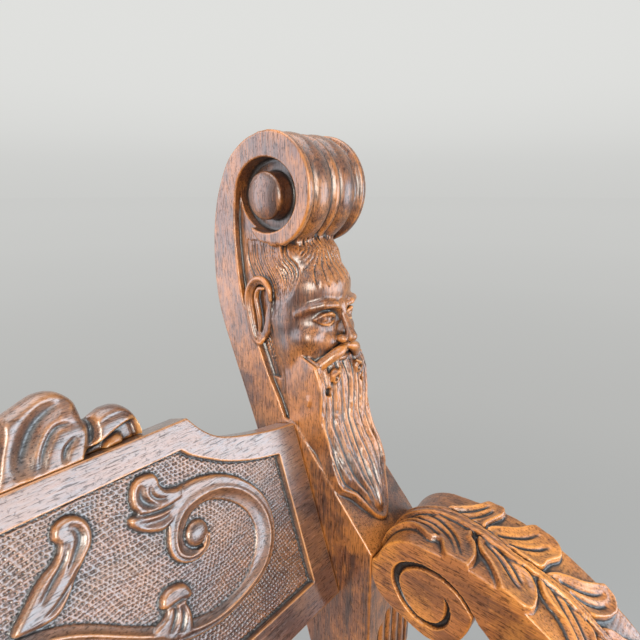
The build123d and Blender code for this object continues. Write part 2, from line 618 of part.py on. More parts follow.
with BuildPart() as back_panel:
    with BuildSketch(panel_plane()):
        with BuildLine():
            edge = SIDE_X - PANEL_GAP
            free = -SIDE_X - CATCH_SLOPE * PANEL_THICK
            shoulder = SIDE_X - PANEL_SHOULDER
            Polyline((free, PANEL_END_HEIGHT), (free, 0), (edge, 0), (edge, PANEL_END_HEIGHT))
            Spline((edge, PANEL_END_HEIGHT), *[(SIDE_X + x, s) for x, s in PANEL_TOP],
                   (shoulder, PANEL_MID_HEIGHT))
            Line((shoulder, PANEL_MID_HEIGHT), (-shoulder, PANEL_MID_HEIGHT))
            Spline((-shoulder, PANEL_MID_HEIGHT),
                   *[(-SIDE_X - x, s) for x, s in reversed(PANEL_TOP)],
                   (-edge, PANEL_END_HEIGHT))
            Line((-edge, PANEL_END_HEIGHT), (free, PANEL_END_HEIGHT))
        make_face()
    extrude(amount=-PANEL_THICK)
    # sunk ground inside the border
    with BuildSketch(panel_plane()):
        with BuildLine():
            end = SIDE_X - PANEL_BORDER
            top = PANEL_END_HEIGHT - PANEL_TOP_BORDER
            mid = SIDE_X - PANEL_SHOULDER - PANEL_TOP_BORDER / 2
            mid_top = PANEL_MID_HEIGHT - PANEL_TOP_BORDER
            Polyline((-end, top), (-end, PANEL_BORDER), (end, PANEL_BORDER), (end, top))
            Spline((end, top), *[(SIDE_X + x, s) for x, s in GROUND_TOP], (mid, mid_top))
            Line((mid, mid_top), (-mid, mid_top))
            Spline((-mid, mid_top), *[(-SIDE_X - x, s) for x, s in reversed(GROUND_TOP)],
                   (-end, top))
        make_face()
    extrude(amount=-PANEL_SINK, mode=Mode.SUBTRACT)
    # scrolls and middle oval that stand on the ground
    for way in (LEFT, RIGHT):
        with BuildSketch(panel_plane(PANEL_SINK)):
            with BuildLine():
                Spline(*[(way * (SIDE_X + x), s) for x, s in SCROLL_OUTER])
                Line((way * (SIDE_X + SCROLL_OUTER[-1][0]), SCROLL_OUTER[-1][1]),
                     (way * (SIDE_X + SCROLL_INNER[0][0]), SCROLL_INNER[0][1]))
                Spline(*[(way * (SIDE_X + x), s) for x, s in SCROLL_INNER])
                Line((way * (SIDE_X + SCROLL_INNER[-1][0]), SCROLL_INNER[-1][1]),
                     (way * (SIDE_X + SCROLL_OUTER[0][0]), SCROLL_OUTER[0][1]))
            make_face()
            with Locations((way * (SIDE_X - BOSS_IN), BOSS_UP)):
                Circle(BOSS_R)
        extrude(amount=PANEL_SINK - RELIEF_LOW)
    with BuildSketch(panel_plane(PANEL_SINK)):
        with Locations((0, PANEL_MID_HEIGHT / 2)):
            Ellipse(OVAL_HALF_WIDTH, OVAL_HALF_HEIGHT)
            Ellipse(OVAL_HALF_WIDTH - OVAL_BAND, OVAL_HALF_HEIGHT - OVAL_BAND,
                    mode=Mode.SUBTRACT)
    extrude(amount=PANEL_SINK - RELIEF_LOW)
    # bevel of the free end
    with BuildSketch(hinge_plane(-CATCH_OVERRUN)):
        with BuildLine():
            Polyline((-SIDE_X + 2 * PANEL_GAP, 0),
                     (-SIDE_X + 2 * PANEL_GAP - CATCH_SLOPE * CATCH_DEPTH, CATCH_DEPTH),
                     (-SIDE_X - CATCH_DEPTH, CATCH_DEPTH), (-SIDE_X - CATCH_DEPTH, -PANEL_THICK),
                     (-SIDE_X + 2 * PANEL_GAP, -PANEL_THICK), close=True)
        make_face()
    extrude(amount=PANEL_MID_HEIGHT, mode=Mode.SUBTRACT)
save(back_panel, "back_panel")

CREST_MIDDLE = 49.0        # the crest's top above the panel's raised middle
CREST_EDGE = [(-1.5, 10.0), (-8.0, 19.5), (-16.0, 22.0), (-27.5, 18.0), (-30.0, 30.0),
              (-45.0, 38.0), (-66.0, 33.0), (-88.0, 41.0), (-112.0, 47.0)]
with BuildPart() as crest:
    with BuildSketch(panel_plane((PANEL_THICK - CREST_THICK) / 2)):
        with BuildLine():
            right = [(CREST_HALF + x, PANEL_MID_HEIGHT + s) for x, s in CREST_EDGE]
            Spline((CREST_HALF, PANEL_MID_HEIGHT), *right, (0, PANEL_MID_HEIGHT + CREST_MIDDLE),
                   *[(-x, s) for x, s in reversed(right)], (-CREST_HALF, PANEL_MID_HEIGHT))
            Line((-CREST_HALF, PANEL_MID_HEIGHT), (CREST_HALF, PANEL_MID_HEIGHT))
        make_face()
    extrude(amount=-CREST_THICK)
save(crest, "crest_carving")

# ---------------------------------------------------------------- hinges
KNUCKLE = LEAF_LENGTH / 3


def knuckle(low, high):
    """Barrel piece of a hinge between two heights up the panel."""
    with BuildSketch(hinge_plane(low)) as section:
        with Locations((HINGE_X, HINGE_BACK)):
            Circle(KNUCKLE_R)
    extrude(section.sketch, amount=high - low)


def knuckle_bore(up):
    bore(hinge_plane(up - LEAF_LENGTH), HINGE_X, HINGE_BACK, HINGE_PIN_R + RUN_FIT,
         2 * LEAF_LENGTH)


def plate(low, high, x1, x2, back1, back2):
    with BuildSketch(hinge_plane(low)) as section:
        with Locations(((x1 + x2) / 2, (back1 + back2) / 2)):
            Rectangle(abs(x2 - x1), abs(back2 - back1))
    extrude(section.sketch, amount=high - low)


for name, up in zip(("lower", "upper"), HINGE_HEIGHTS):
    low = up - LEAF_LENGTH / 2
    high = up + LEAF_LENGTH / 2
    with BuildPart() as panel_leaf:
        for start in (low, high - KNUCKLE + SIDE_PLAY):
            knuckle(start, start + KNUCKLE - SIDE_PLAY)
            plate(start, start + KNUCKLE - SIDE_PLAY, HINGE_X,
                  HINGE_X - KNUCKLE_R - KNUCKLE_CLEAR,
                  PANEL_THICK + SIDE_PLAY, PANEL_THICK + SIDE_PLAY + LEAF_THICK)
        plate(low, high, HINGE_X - KNUCKLE_R - KNUCKLE_CLEAR, HINGE_X - KNUCKLE_R - PANEL_LEAF,
              PANEL_THICK + SIDE_PLAY, PANEL_THICK + SIDE_PLAY + LEAF_THICK)
        knuckle_bore(up)
    save(panel_leaf, f"hinge_leaf_panel_{name}")
    with BuildPart() as post_leaf:
        knuckle(low + KNUCKLE + SIDE_PLAY, high - KNUCKLE - SIDE_PLAY)
        plate(low + KNUCKLE + SIDE_PLAY, high - KNUCKLE - SIDE_PLAY,
              SIDE_X - SIDE_PLAY, SIDE_X - SIDE_PLAY - LEAF_THICK,
              HINGE_BACK, HINGE_BACK + KNUCKLE_R + KNUCKLE_CLEAR)
        plate(low, high, SIDE_X - SIDE_PLAY, SIDE_X - SIDE_PLAY - LEAF_THICK,
              HINGE_BACK + KNUCKLE_R + KNUCKLE_CLEAR, HINGE_BACK + KNUCKLE_R + POST_LEAF)
        knuckle_bore(up)
    save(post_leaf, f"hinge_leaf_post_{name}")
    with BuildPart() as hinge_pin:
        bar(hinge_plane(low - HINGE_PIN_END), HINGE_X, HINGE_BACK, HINGE_PIN_R,
            LEAF_LENGTH + 2 * HINGE_PIN_END)
    save(hinge_pin, f"hinge_pin_{name}")
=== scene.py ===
import itertools
import json
import math

import bpy
import numpy as np
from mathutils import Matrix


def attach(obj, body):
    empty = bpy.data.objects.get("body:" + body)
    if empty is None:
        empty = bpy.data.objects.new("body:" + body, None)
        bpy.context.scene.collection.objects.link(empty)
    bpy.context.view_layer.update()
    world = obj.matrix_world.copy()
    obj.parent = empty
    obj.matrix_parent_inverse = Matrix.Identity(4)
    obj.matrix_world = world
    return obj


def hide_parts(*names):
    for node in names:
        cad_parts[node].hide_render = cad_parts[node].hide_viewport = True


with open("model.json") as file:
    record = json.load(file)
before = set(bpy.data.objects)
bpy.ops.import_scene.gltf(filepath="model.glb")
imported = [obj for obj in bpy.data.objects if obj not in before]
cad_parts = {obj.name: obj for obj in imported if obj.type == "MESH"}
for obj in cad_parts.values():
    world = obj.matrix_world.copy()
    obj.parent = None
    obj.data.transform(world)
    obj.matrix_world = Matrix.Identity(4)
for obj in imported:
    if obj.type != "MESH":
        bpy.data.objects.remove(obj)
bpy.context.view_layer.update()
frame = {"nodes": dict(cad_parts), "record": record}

import openvdb
from mathutils import Matrix, Vector

# Carved parts are worked in millimetres from the finial scroll's centre on the left post's
# inner face: x outwards, y back, z up. The right-hand side is the mirror image.
SIDE_X = 235
SCROLL_Y = 230
SCROLL_Z = 915
POST_WIDTH = 57
MID = POST_WIDTH / 2
LEFT, RIGHT = 1, -1
SIDE_NAME = {LEFT: "left", RIGHT: "right"}
SHARP = math.radians(62)
FAR = 20  # distance that an empty grid starts with
# width of a grid's cell for each kind of piece
CELL = {"upper post": 0.8, "lower post": 1.2, "panel": 0.56, "crest": 0.7, "arm": 0.8, "slat": 1.3,
        "seat slat": 0.9, "runner": 1.2}


# ---------------------------------------------------------------- shaping tools
def spread(points, steps=8, closed=False):
    """A smooth line through the points (Catmull-Rom)."""
    p = np.array(points, float)
    if closed:
        p = np.vstack([p[-1], p, p[0], p[1]])
    else:
        p = np.vstack([2 * p[0] - p[1], p, 2 * p[-1] - p[-2]])
    t = np.linspace(0, 1, steps, endpoint=False)[:, None]
    rows = [0.5 * (2 * b + (c - a) * t + (2 * a - 5 * b + 4 * c - d) * t**2 + (3 * b - a - 3 * c + d) * t**3)
            for a, b, c, d in zip(p, p[1:], p[2:], p[3:])]
    return np.vstack(rows if closed else rows + [p[-2]])


def round_line(centre, radius, start, end, count):
    """Points on a circle, between two angles in degrees."""
    return [(centre[0] + radius * math.cos(a), centre[1] + radius * math.sin(a))
            for a in np.radians(np.linspace(start, end, count))]


def line_distance(points, u, v, closed=False):
    """Distance from a flat line, the share of its length at the nearest place, and the side of it."""
    p = np.array(points, float)
    if closed:
        p = np.vstack([p, p[0]])
    lengths = np.hypot(*(p[1:] - p[:-1]).T)
    shape = np.broadcast(u, v).shape
    best = np.full(shape, 1e9, np.float32)
    along = np.zeros(shape, np.float32)
    side = np.ones(shape, np.float32)
    run = 0.0
    for (ax, ay), (bx, by), length in zip(p, p[1:], lengths):
        if length < 1e-9:
            continue
        ex, ey = bx - ax, by - ay
        t = np.clip(((u - ax) * ex + (v - ay) * ey) / length**2, 0, 1)
        d = (u - ax - t * ex) ** 2 + (v - ay - t * ey) ** 2
        near = d < best
        best = np.where(near, d, best)
        along = np.where(near, (run + t * length) / lengths.sum(), along)
        side = np.where(near, np.sign(ex * (v - ay) - ey * (u - ax)), side)
        run += length
    return np.sqrt(best), along, side


def outline_distance(points, u, v):
    """Distance from a closed outline, negative inside."""
    p = np.array(points, float)
    best = line_distance(p, u, v, closed=True)[0]
    inside = np.zeros(best.shape, bool)
    for (ax, ay), (bx, by) in zip(p, np.roll(p, -1, 0)):
        if ay != by:
            inside ^= ((ay <= v) != (by <= v)) & (u < ax + (v - ay) * (bx - ax) / (by - ay))
    return np.where(inside, -best, best).astype(np.float32)


def soft_min(a, b, k):
    """The smaller of two, with a fillet of size k between them."""
    h = np.clip(0.5 + 0.5 * (b - a) / k, 0, 1)
    return b * (1 - h) + a * h - k * h * (1 - h)


def soft_max(a, b, k):
    """The larger of two, with a fillet of size k between them."""
    return -soft_min(-a, -b, k)


def smooth(t, low, high):
    """0 below low, 1 above high."""
    s = np.clip((t - low) / (high - low), 0, 1)
    return s * s * (3 - 2 * s)


def swell(t):
    """Rises from 0 to 1 in the middle and falls back."""
    return np.sqrt(np.sin(np.pi * np.clip(t, 0.01, 0.99)))


def bell(d, width):
    """1 at 0, fading out over the width."""
    return np.exp(-((d / width) ** 2))


def dome(t):
    """Round profile: 1 at t = 0, 0 from t = 1 on."""
    return np.sqrt(np.clip(1 - t**2, 0, 1))


def box_blur(field, reach):
    """Mean over a box that reaches so many cells to each side."""
    for axis in range(3):
        padded = np.pad(field, [(reach, reach) if k == axis else (0, 0) for k in range(3)], mode="edge")
        total = np.zeros_like(field)
        rows, sums = np.moveaxis(padded, axis, 0), np.moveaxis(total, axis, 0)
        for shift in range(2 * reach + 1):
            sums += rows[shift:shift + len(sums)]
        field = total / np.float32(2 * reach + 1)
    return field


def sample(field, *places):
    """Values of a grid between its cells, at places counted in cells along each axis."""
    base, part = [], []
    for place, size in zip(places, field.shape):
        place = np.clip(place, 0, size - 1.001)
        base.append(place.astype(int))
        part.append((place - base[-1]).astype(np.float32))
    total = 0
    for corner in itertools.product((0, 1), repeat=field.ndim):
        weight = 1
        for step, share in zip(corner, part):
            weight = weight * (share if step else 1 - share)
        total = total + weight * field[tuple(b + step for b, step in zip(base, corner))]
    return total


class Clay:
    """Solid material on a grid of distances, in millimetres, negative inside."""

    def __init__(self, low, high, step):
        self.step = step
        self.low = np.array(low, float)
        count = np.ceil((np.array(high, float) - self.low) / step).astype(int) + 1
        self.field = np.full(count, FAR, np.float32)

    def window(self, low=None, high=None):
        """Part of the grid and its three coordinates."""
        count = np.array(self.field.shape)
        first, last = 0 * count, count
        if low is not None:
            first = np.clip(np.floor((np.array(low) - self.low) / self.step).astype(int), 0, count - 1)
            last = np.clip(np.ceil((np.array(high) - self.low) / self.step).astype(int) + 1, first + 1, count)
        axes = [(self.low[k] + self.step * np.arange(first[k], last[k])).astype(np.float32) for k in range(3)]
        return tuple(map(slice, first, last)), *np.ix_(*axes)

    def join(self, part, d, soft):
        self.field[part] = soft_min(self.field[part], d, soft)

    def cut(self, part, d, soft):
        self.field[part] = soft_max(self.field[part], -d, soft)

    def egg(self, centre, radii, soft, remove=False):
        """Ellipsoid, added or taken away."""
        c = np.array(centre, float)
        reach = max(radii) + soft + 1
        part, *axes = self.window(c - reach, c + reach)
        place = [axis - middle for axis, middle in zip(axes, c)]
        k0 = np.sqrt(sum((a / r) ** 2 for a, r in zip(place, radii)))
        k1 = np.sqrt(sum((a / r**2) ** 2 for a, r in zip(place, radii)))
        (self.cut if remove else self.join)(part, k0 * (k0 - 1) / np.maximum(k1, 1e-6), soft)

    def rope(self, points, radii, soft, remove=False):
        """Round strand along points, with one radius or one per point."""
        p = np.array(points, float)
        r = np.broadcast_to(np.array(radii, float), len(p))
        reach = r.max() + soft + 1
        part, x, y, z = self.window(p.min(0) - reach, p.max(0) + reach)
        best = np.full(self.field[part].shape, FAR, np.float32)
        for a, b, ra, rb in zip(p, p[1:], r, r[1:]):
            e = b - a
            t = np.clip(((x - a[0]) * e[0] + (y - a[1]) * e[1] + (z - a[2]) * e[2]) / (e @ e), 0, 1)
            d = np.sqrt((x - a[0] - t * e[0]) ** 2 + (y - a[1] - t * e[1]) ** 2 + (z - a[2] - t * e[2]) ** 2)
            best = np.minimum(best, d - ra - t * (rb - ra))
        (self.cut if remove else self.join)(part, best, soft)

    def surface(self, fine=1.0, broad=6.0):
        """Points in millimetres, quads, and for each point how sharp an edge and how deep a hollow it lies in,
        marks that the wood paints as worn edges partly lit by a painted highlight, and as painted shade.
        """
        band = 3 * self.step
        grid = openvdb.FloatGrid(background=band)
        grid.copyFromArray(np.clip(self.field, -band, band))
        points, _, quads = grid.convertToPolygons(isovalue=0.0, adaptivity=0.0)
        marks = []
        for size in (fine, broad):
            reach = max(1, round(size / self.step))
            soft = box_blur(box_blur(np.clip(self.field, -size, size), reach), max(1, reach // 2))
            marks.append(sample(soft, *points.T) / size)
        return points * self.step + self.low, quads, marks


def add_piece(name, surface, node, slot, grain, mirror=False):
    """Puts a modelled piece, in millimetres of the row frame, in the scene in place of a CAD node."""
    points, quads, marks = surface
    quads = quads[:, ::-1] if mirror else quads
    mesh = bpy.data.meshes.new(name)
    mesh.vertices.add(len(points))
    mesh.vertices.foreach_set("co", (points / 1000).astype(np.float32).ravel())
    mesh.loops.add(quads.size)
    mesh.loops.foreach_set("vertex_index", quads.astype(np.int32).ravel())
    mesh.polygons.add(len(quads))
    mesh.polygons.foreach_set("loop_start", np.arange(0, quads.size, quads.shape[1], dtype=np.int32))
    mesh.polygons.foreach_set("use_smooth", np.ones(len(quads), bool))
    mesh.update(calc_edges=True)
    mesh.validate()
    # the fine mark drives the worn edges with their painted highlight and the painted shade, the broad one the
    # painted shade
    for label, values in zip(("edge_wear_highlight", "hollow"), marks):
        layer = mesh.attributes.new(label, "FLOAT", "POINT")
        layer.data.foreach_set("value", values.astype(np.float32))
    mesh.materials.append(MATERIALS[f"{slot}_{grain}"])
    obj = bpy.data.objects.new(name, mesh)
    bpy.context.scene.collection.objects.link(obj)
    body = next(body for body, nodes in frame["record"]["behaviour"]["bodies"].items() if node in nodes)
    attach(obj, body)
    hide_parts(node)
    return obj


# ---------------------------------------------------------------- back posts
SCROLL_R = 36
POST_FRONT = -87.7
POST_LEAN = 0.31974
HEAD_CUT = -346  # the carved part of a post ends here, and its lower part starts
SEAM_LAP = 0.8   # overlap of the two, hidden inside them
BACK_EDGE = [(22.6, 30.7), (38.4, 19.5), (49, 2.2), (54.9, -13.6), (58.6, -33.7), (59.5, -61.1),
             (55.7, -87.1), (45.5, -113.6), (31.5, -145.5), (19.5, -174)]
RIM = [(32.1, -1), (34, -15), (34.6, -30), (33.6, -45.4), (31.8, -63.4), (27, -83.3), (14.6, -106.8),
       (5.1, -127.2), (-4.5, -143.7), (-10.2, -155.9)]
SLOPE_TOP = (-20.9, -157.6)
SLOPE_FOOT = (-80, -219.6)
FIELD_SINK = 4.2
RECESS_SINK = 12.5
HUB_R = 15.2
# reeds down the front below the head; the middle one is the highest
FLUTE_TOP = -288
FLUTE_PITCH = 9.5
FLUTE_EDGE = 23.8
FLUTE_DEPTH = 2.6


def post_outline():
    """The post seen from its side, from the scroll down to the cut."""
    arc = round_line((0, 0), SCROLL_R, 90, 260, 60)
    back = spread([(8, 35.4)] + BACK_EDGE)
    end = HEAD_CUT - 20
    low = BACK_EDGE[-1][0] - POST_LEAN * (BACK_EDGE[-1][1] - end)
    front = [(-14, -130), SLOPE_TOP, SLOPE_FOOT, (POST_FRONT, -228), (POST_FRONT, end), (low, end)]
    return np.vstack([arc, front, back[::-1]])


def reed_profile(x):
    """How far the scroll's surface lies under its rim, across the post."""
    t = np.abs(x - MID) / MID
    reed = 5.2 * (1 - dome((t - 0.42) / 0.27))
    ridge = 0.8 + 3.2 * smooth(t, 0.03, 0.15)
    cove = 4.4 * dome((t - 0.73) / 0.12)
    out = np.where(t < 0.15, ridge, np.where(t < 0.69, reed, cove))
    return np.where(t > 0.85, 0, out).astype(np.float32)


def flute_depth(u, z):
    """Reeds down the post's front; u is the distance from its middle, z its height."""
    wave = 0.5 - 0.5 * np.cos(2 * np.pi * u / FLUTE_PITCH)
    stop = FLUTE_TOP - 0.045 * u**2
    return FLUTE_DEPTH * wave**1.5 * (u < FLUTE_EDGE) * smooth(stop - z, 0, 7)


def carve_scroll(clay, outline):
    """The post's plain shape with its reeded scroll, sunk field, recess and hub."""
    part, x, y, z = clay.window()
    body = soft_max(outline, -np.minimum(x, POST_WIDTH - x), 1.1)
    clay.field[part] = np.broadcast_to(body, clay.field.shape)
    # reeds round the scroll
    part, x, y, z = clay.window((-2, -40, -40), (POST_WIDTH + 2, 34, 40))
    angle = np.degrees(np.arctan2(z, -y))
    fade = smooth(angle, -97, -84) * (1 - smooth(angle, 105, 128))
    under = reed_profile(x) * np.where(np.hypot(y, z) < 14, 0, fade)
    reeded = soft_max(clay.field[part], outline[:, part[1], part[2]] + under, 0.5)
    clay.field[part] = np.where(fade > 0, reeded, clay.field[part])
    # sunk field behind the head
    field = np.vstack([spread(RIM, 6), [(-30, -160), (-30, -50), (-16, -33.5)],
                       [(0, -36), (10, -33), (16.5, -27.5), (20, -20), (25, -8)]])
    part, x, y, z = clay.window((-4, -32, -162), (POST_WIDTH + 4, 40, 4))
    side = np.minimum(x, POST_WIDTH - x)
    sink = FIELD_SINK + smooth(z, -150, -60)
    clay.cut(part, soft_max(outline_distance(field, y, z), side - sink, 0.8), 0.5)
    # round recess with its domed hub, slit from one side
    part, x, y, z = clay.window((-4, -30, -34), (POST_WIDTH + 4, 40, 28))
    side = np.minimum(x, POST_WIDTH - x)
    oval = (np.hypot((y - 4) / 28, (z + 3.5) / 23.6) - 1) * 25
    clay.cut(part, soft_max(oval, side - RECESS_SINK, 2.5), 0.4)
    hub = np.hypot(y - 4, z + 3.7)
    clay.join(part, soft_max(hub - HUB_R, -side - 3.4 + 0.016 * hub**2, 1.6), 0.9)
    slit, along, _ = line_distance(spread([(17, -1), (16.4, 3), (13.5, 6.2), (10, 8.2)], 6), y, z)
    clay.cut(part, soft_max(slit - 0.9 * swell(along), side, 0.2), 0.2)


# Each shape of the head: its points as (distance from the head's middle, y, z), its radii, its softness,
# and whether it is taken away. One point is an egg with three radii, and more are a rope.
SKULL = [
    ([(0, -9, -84)], (28, 29, 44), 5, False),
    ([(0, -15, -62)], (25.5, 24, 19), 6, False),
    ([(0, -6, -45)], (27, 22, 18), 6, False),
    ([(0, -14, -106)], (26.5, 25, 25), 6, False),
]
BROW_EYE_CHEEK = [
    ([(2.5, -38.4, -75), (8, -39.4, -72.6), (15, -36, -71.8), (21, -29.5, -74), (25, -21, -79)],
     (2, 3, 3, 2.4, 1.2), 3, False),
    ([(11.2, -40.5, -80.5)], (8.2, 6.6, 5.6), 2.6, True),
    ([(4.6, -42, -82)], (3, 4, 5), 2.6, True),
    ([(11.2, -31.8, -81.2)], (6.6, 5.6, 5.2), 0.6, False),
    ([(17.5, -25, -95)], (9.5, 9, 8.5), 5, False),
    ([(8.5, -33.5, -98)], (5.5, 6, 6), 4, False),
]
NOSE = [
    ([(0, -37.6, -73), (0, -39.8, -80), (0, -44.2, -88), (0, -47.4, -94.2)],
     (3.4, 2.5, 2.9, 3.7), 2.2, False),
]
NOSTRIL_LIDS = [
    ([(4.6, -42.6, -95.6)], (3, 4.2, 2.9), 1.2, False),
    ([(2.5, -45.6, -98.8)], (1.3, 2.6, 1.5), 0.5, True),
    ([(4.6, -35.4, -82.6), (7.2, -37.6, -79.6), (11, -38.2, -77.9), (15, -35.6, -78.8), (19, -30.6, -82)],
     (0.8, 1.2, 1.4, 1.2, 0.7), 0.7, False),
    ([(4.6, -35.4, -82.6), (7.5, -37, -84.6), (11.5, -37.2, -85.8), (15.4, -34.6, -84.9), (19, -30.6, -82)],
     (0.7, 0.9, 1.1, 0.9, 0.6), 0.7, False),
    ([(5.5, -38.6, -78.6), (11, -40.4, -75.4), (17.5, -35.2, -77), (20, -31, -79.6)],
     (0.5, 0.7, 0.7, 0.4), 0.6, True),
    ([(11.3, -37.6, -81.4)], (1.9, 1.2, 1.9), 0.4, True),
]
LIPS = [
    ([(0, -38.6, -105.8)], (7.5, 3.6, 2.2), 1.2, False),
    ([(0, -38.4, -110.4)], (6.6, 3.6, 2.5), 1.2, False),
    ([(-8.5, -38.4, -108.4), (0, -42.4, -107.9), (8.5, -38.4, -108.4)], (0.4, 0.7, 0.4), 0.4, True),
]
MOUSTACHE = [(1.6, -42.2, -101.4), (6.5, -43.6, -103), (12, -41.4, -106.2), (17.5, -36.8, -111.6),
             (22, -31.5, -118.5), (24.6, -28, -126)]


def at(side, u, y, z):
    """A place in the head, u from its middle towards one side."""
    return MID + side * u, y, z


def model(clay, shapes, side=1):
    """Adds or takes away a table's shapes, on one side of the head."""
    for points, radii, soft, remove in shapes:
        places = [at(side, *point) for point in points]
        if len(places) == 1:
            clay.egg(places[0], radii, soft, remove)
        else:
            clay.rope(places, radii, soft, remove)


def carve_head(clay):
    """Face of a calm old man, the same on both sides."""
    model(clay, SKULL)
    for side in (-1, 1):
        model(clay, BROW_EYE_CHEEK, side)
    model(clay, NOSE)
    for side in (-1, 1):
        model(clay, NOSTRIL_LIDS, side)
    model(clay, LIPS)


def carve_ear(clay):
    """Long ear on each side: a rolled rim, a ridge inside it and a lobe."""
    rim = spread([(1.5, -72), (3, -64), (9.5, -58.6), (17.5, -60.2), (23.5, -67), (25.4, -76.5), (23.5, -88),
                  (20.4, -98.5), (17.8, -103.6), (13, -105), (9.4, -101.5)], 6)
    ridge = spread([(9.5, -65.5), (14.5, -66.5), (17, -73), (15.2, -82), (14, -92), (14.6, -98.5)], 6)
    hollow = spread([(4.5, -73), (9, -63.5), (16.5, -64.5), (21.2, -73), (19.8, -86), (17, -97), (12.8, -98),
                     (9, -90), (7.6, -82)], 6, closed=True)
    part, x, y, z = clay.window((-2, -8, -112), (POST_WIDTH + 2, 34, -52))
    side = np.minimum(x, POST_WIDTH - x)
    shell = outline_distance(np.vstack([rim, [(4.6, -96), (1.6, -84)]]), y, z)
    clay.join(part, soft_max(shell, 1.4 - side, 1.2), 1)
    clay.cut(part, soft_max(outline_distance(hollow, y, z), side - 5.4, 1.8), 0.7)
    for line, radius, deep in ((rim, 2.1, 1.2), (ridge, 1.9, 2.4)):
        d, along, _ = line_distance(line, y, z)
        clay.join(part, np.hypot(d, side - deep) - radius * (0.55 + 0.45 * swell(along)), 1)


def between(first, last, count, ends=True):
    """Lines that lead from one line over to another."""
    a, b = spread(first, 6), spread(last, 6)
    t = np.linspace(0, 1, max(len(a), len(b)))
    a, b = (np.column_stack([np.interp(t, np.linspace(0, 1, len(line)), axis) for axis in line.T])
            for line in (a, b))
    shares = np.linspace(0, 1, count) if ends else np.linspace(0, 1, count + 2)[1:-1]
    return [a * (1 - share) + b * share for share in shares]


def carve_hair(clay):
    """Hair drawn up under the scroll, in the sides and over the forehead."""
    part, x, y, z = clay.window((-2, -44, -128), (POST_WIDTH + 2, 36, -28))
    back = between([(27, -34), (27, -48), (20, -60), (8, -72), (2, -84)],
                   [(-8, -34), (-12, -41), (-18, -49), (-19, -58), (-16, -66)], 17)
    neck = between([(25, -84), (17, -102), (7, -122), (-6, -150)],
                   [(0, -88), (-1, -104), (-3, -124), (-9, -150)], 6, ends=False)
    groove = np.zeros(np.broadcast(y, z).shape, np.float32)
    for k, strand in enumerate(back + neck):
        d, along, _ = line_distance(strand, y, z)
        taper = swell(0.06 + 0.9 * along) * (0.55 + 0.45 * abs(math.sin(2.4 * k + 0.5)))
        groove = np.maximum(groove, 2.2 * taper * bell(d, 0.95))
    clay.field[part] += groove * smooth(9.5 - np.minimum(x, POST_WIDTH - x), 0, 3)
    # over the forehead the grooves fan out from under the scroll
    part, x, y, z = clay.window((0, -50, -66), (POST_WIDTH, -4, -30))
    u = (x - MID) / MID
    fan = u / (0.35 + 0.65 * smooth(-z, 34, 60))
    wave = np.abs(np.sin(fan * 15 + 0.8 * np.sin(z * 0.12)))
    face = smooth(-y, 9, 15) * (1 - smooth(-z - 4.5 * np.abs(u), 54, 60))
    clay.field[part] += 1.5 * bell(wave, 0.34) * face * (1 - smooth(np.abs(u), 0.60, 0.78))


# the beard from the front, across the post and down its slope, and from the side
BEARD = [(6, -60), (4, -46), (3, -34), (2, -20), (1.6, -4.6), (1.2, 13.3), (2.6, 26), (0.8, 40.3), (1.6, 53),
         (8.6, 61.2), (13.4, 70.6), (19.5, 80.8), (26.5, 85.6), (33.4, 81.7), (40.7, 71), (46.2, 60),
         (52.5, 51.8), (54.4, 38.3), (52.2, 28), (52.6, 16.2), (55.4, 1.4), (55, -20), (54, -34), (53, -46),
         (51, -60)]
BEARD_SIDE = [(-6, -104), (-36, -108), (-42, -114), (-46, -124), (-47.5, -136), (-49.5, -150), (-55, -165),
              (-62, -180), (-73.5, -203), (-80.6, -216), (-84, -222), (-70, -222), (-24, -172), (-10, -158)]
BEARD_ACROSS = (-4, 61)
BEARD_DOWN = (-64, 92)
# share of the beard's width, depth and width of its main grooves
BEARD_LOCKS = [(0.10, 2.6, 0.030), (0.235, 3.4, 0.036), (0.37, 2.6, 0.030), (0.50, 3.8, 0.038),
               (0.63, 2.6, 0.030), (0.765, 3.4, 0.036), (0.90, 2.6, 0.030)]
FINE_LINES = 22


def slope_place(y, z):
    """Down the front slope and out of it."""
    ey, ez = (np.subtract(SLOPE_FOOT, SLOPE_TOP) / math.dist(SLOPE_TOP, SLOPE_FOOT)).tolist()
    y, z = y - SLOPE_TOP[0], z - SLOPE_TOP[1]
    return y * ey + z * ez, y * ez - z * ey


def beard_grooves(flat, u, s):
    """Depth of the beard's grooves on its flat grid, which follow its outline."""
    left = (u + 99 * (flat > 0)).min(0)
    right = (u - 99 * (flat > 0)).max(0)
    bare = left > right
    left[bare], right[bare] = 25, 27
    even = np.ones(7) / 7
    left, right = (np.convolve(np.pad(edge, 3, mode="edge"), even, "valid") for edge in (left, right))
    down = (s - BEARD_DOWN[0]) / (BEARD_DOWN[1] - BEARD_DOWN[0])
    share = (u - left) / (right - left) + 0.035 * np.sin(11 * down + 2) * smooth(down, 0.3, 0.6)
    deep = np.zeros_like(share)
    for k, (place, depth, width) in enumerate(BEARD_LOCKS):
        bend = 0.020 * np.sin(7 * down + 1.7 * k)
        end = smooth(0.97 - 0.02 * (k % 3) - down, 0, 0.16)
        deep = np.maximum(deep, depth * end * bell(share - place - bend, width))
    for k in range(FINE_LINES):
        place = 0.03 + 0.94 * k / (FINE_LINES - 1)
        bend = 0.022 * np.sin(7 * down + 1.1 * k) + 0.012 * np.sin(23 * down + 2.3 * k)
        reach = 0.55 + 0.32 * abs(math.sin(3.7 * k + 1))
        end = smooth(reach - down, 0, 0.12) * smooth(down, 0.02, 0.1)
        deep = np.maximum(deep, 1.8 * end * bell(share - place - bend, 0.0125))
    dish = 1.9 * bell(np.clip(-flat, 0, 9) - 4.6, 2.3) * smooth(down, 0.45, 0.6)
    return (deep + dish).astype(np.float32)


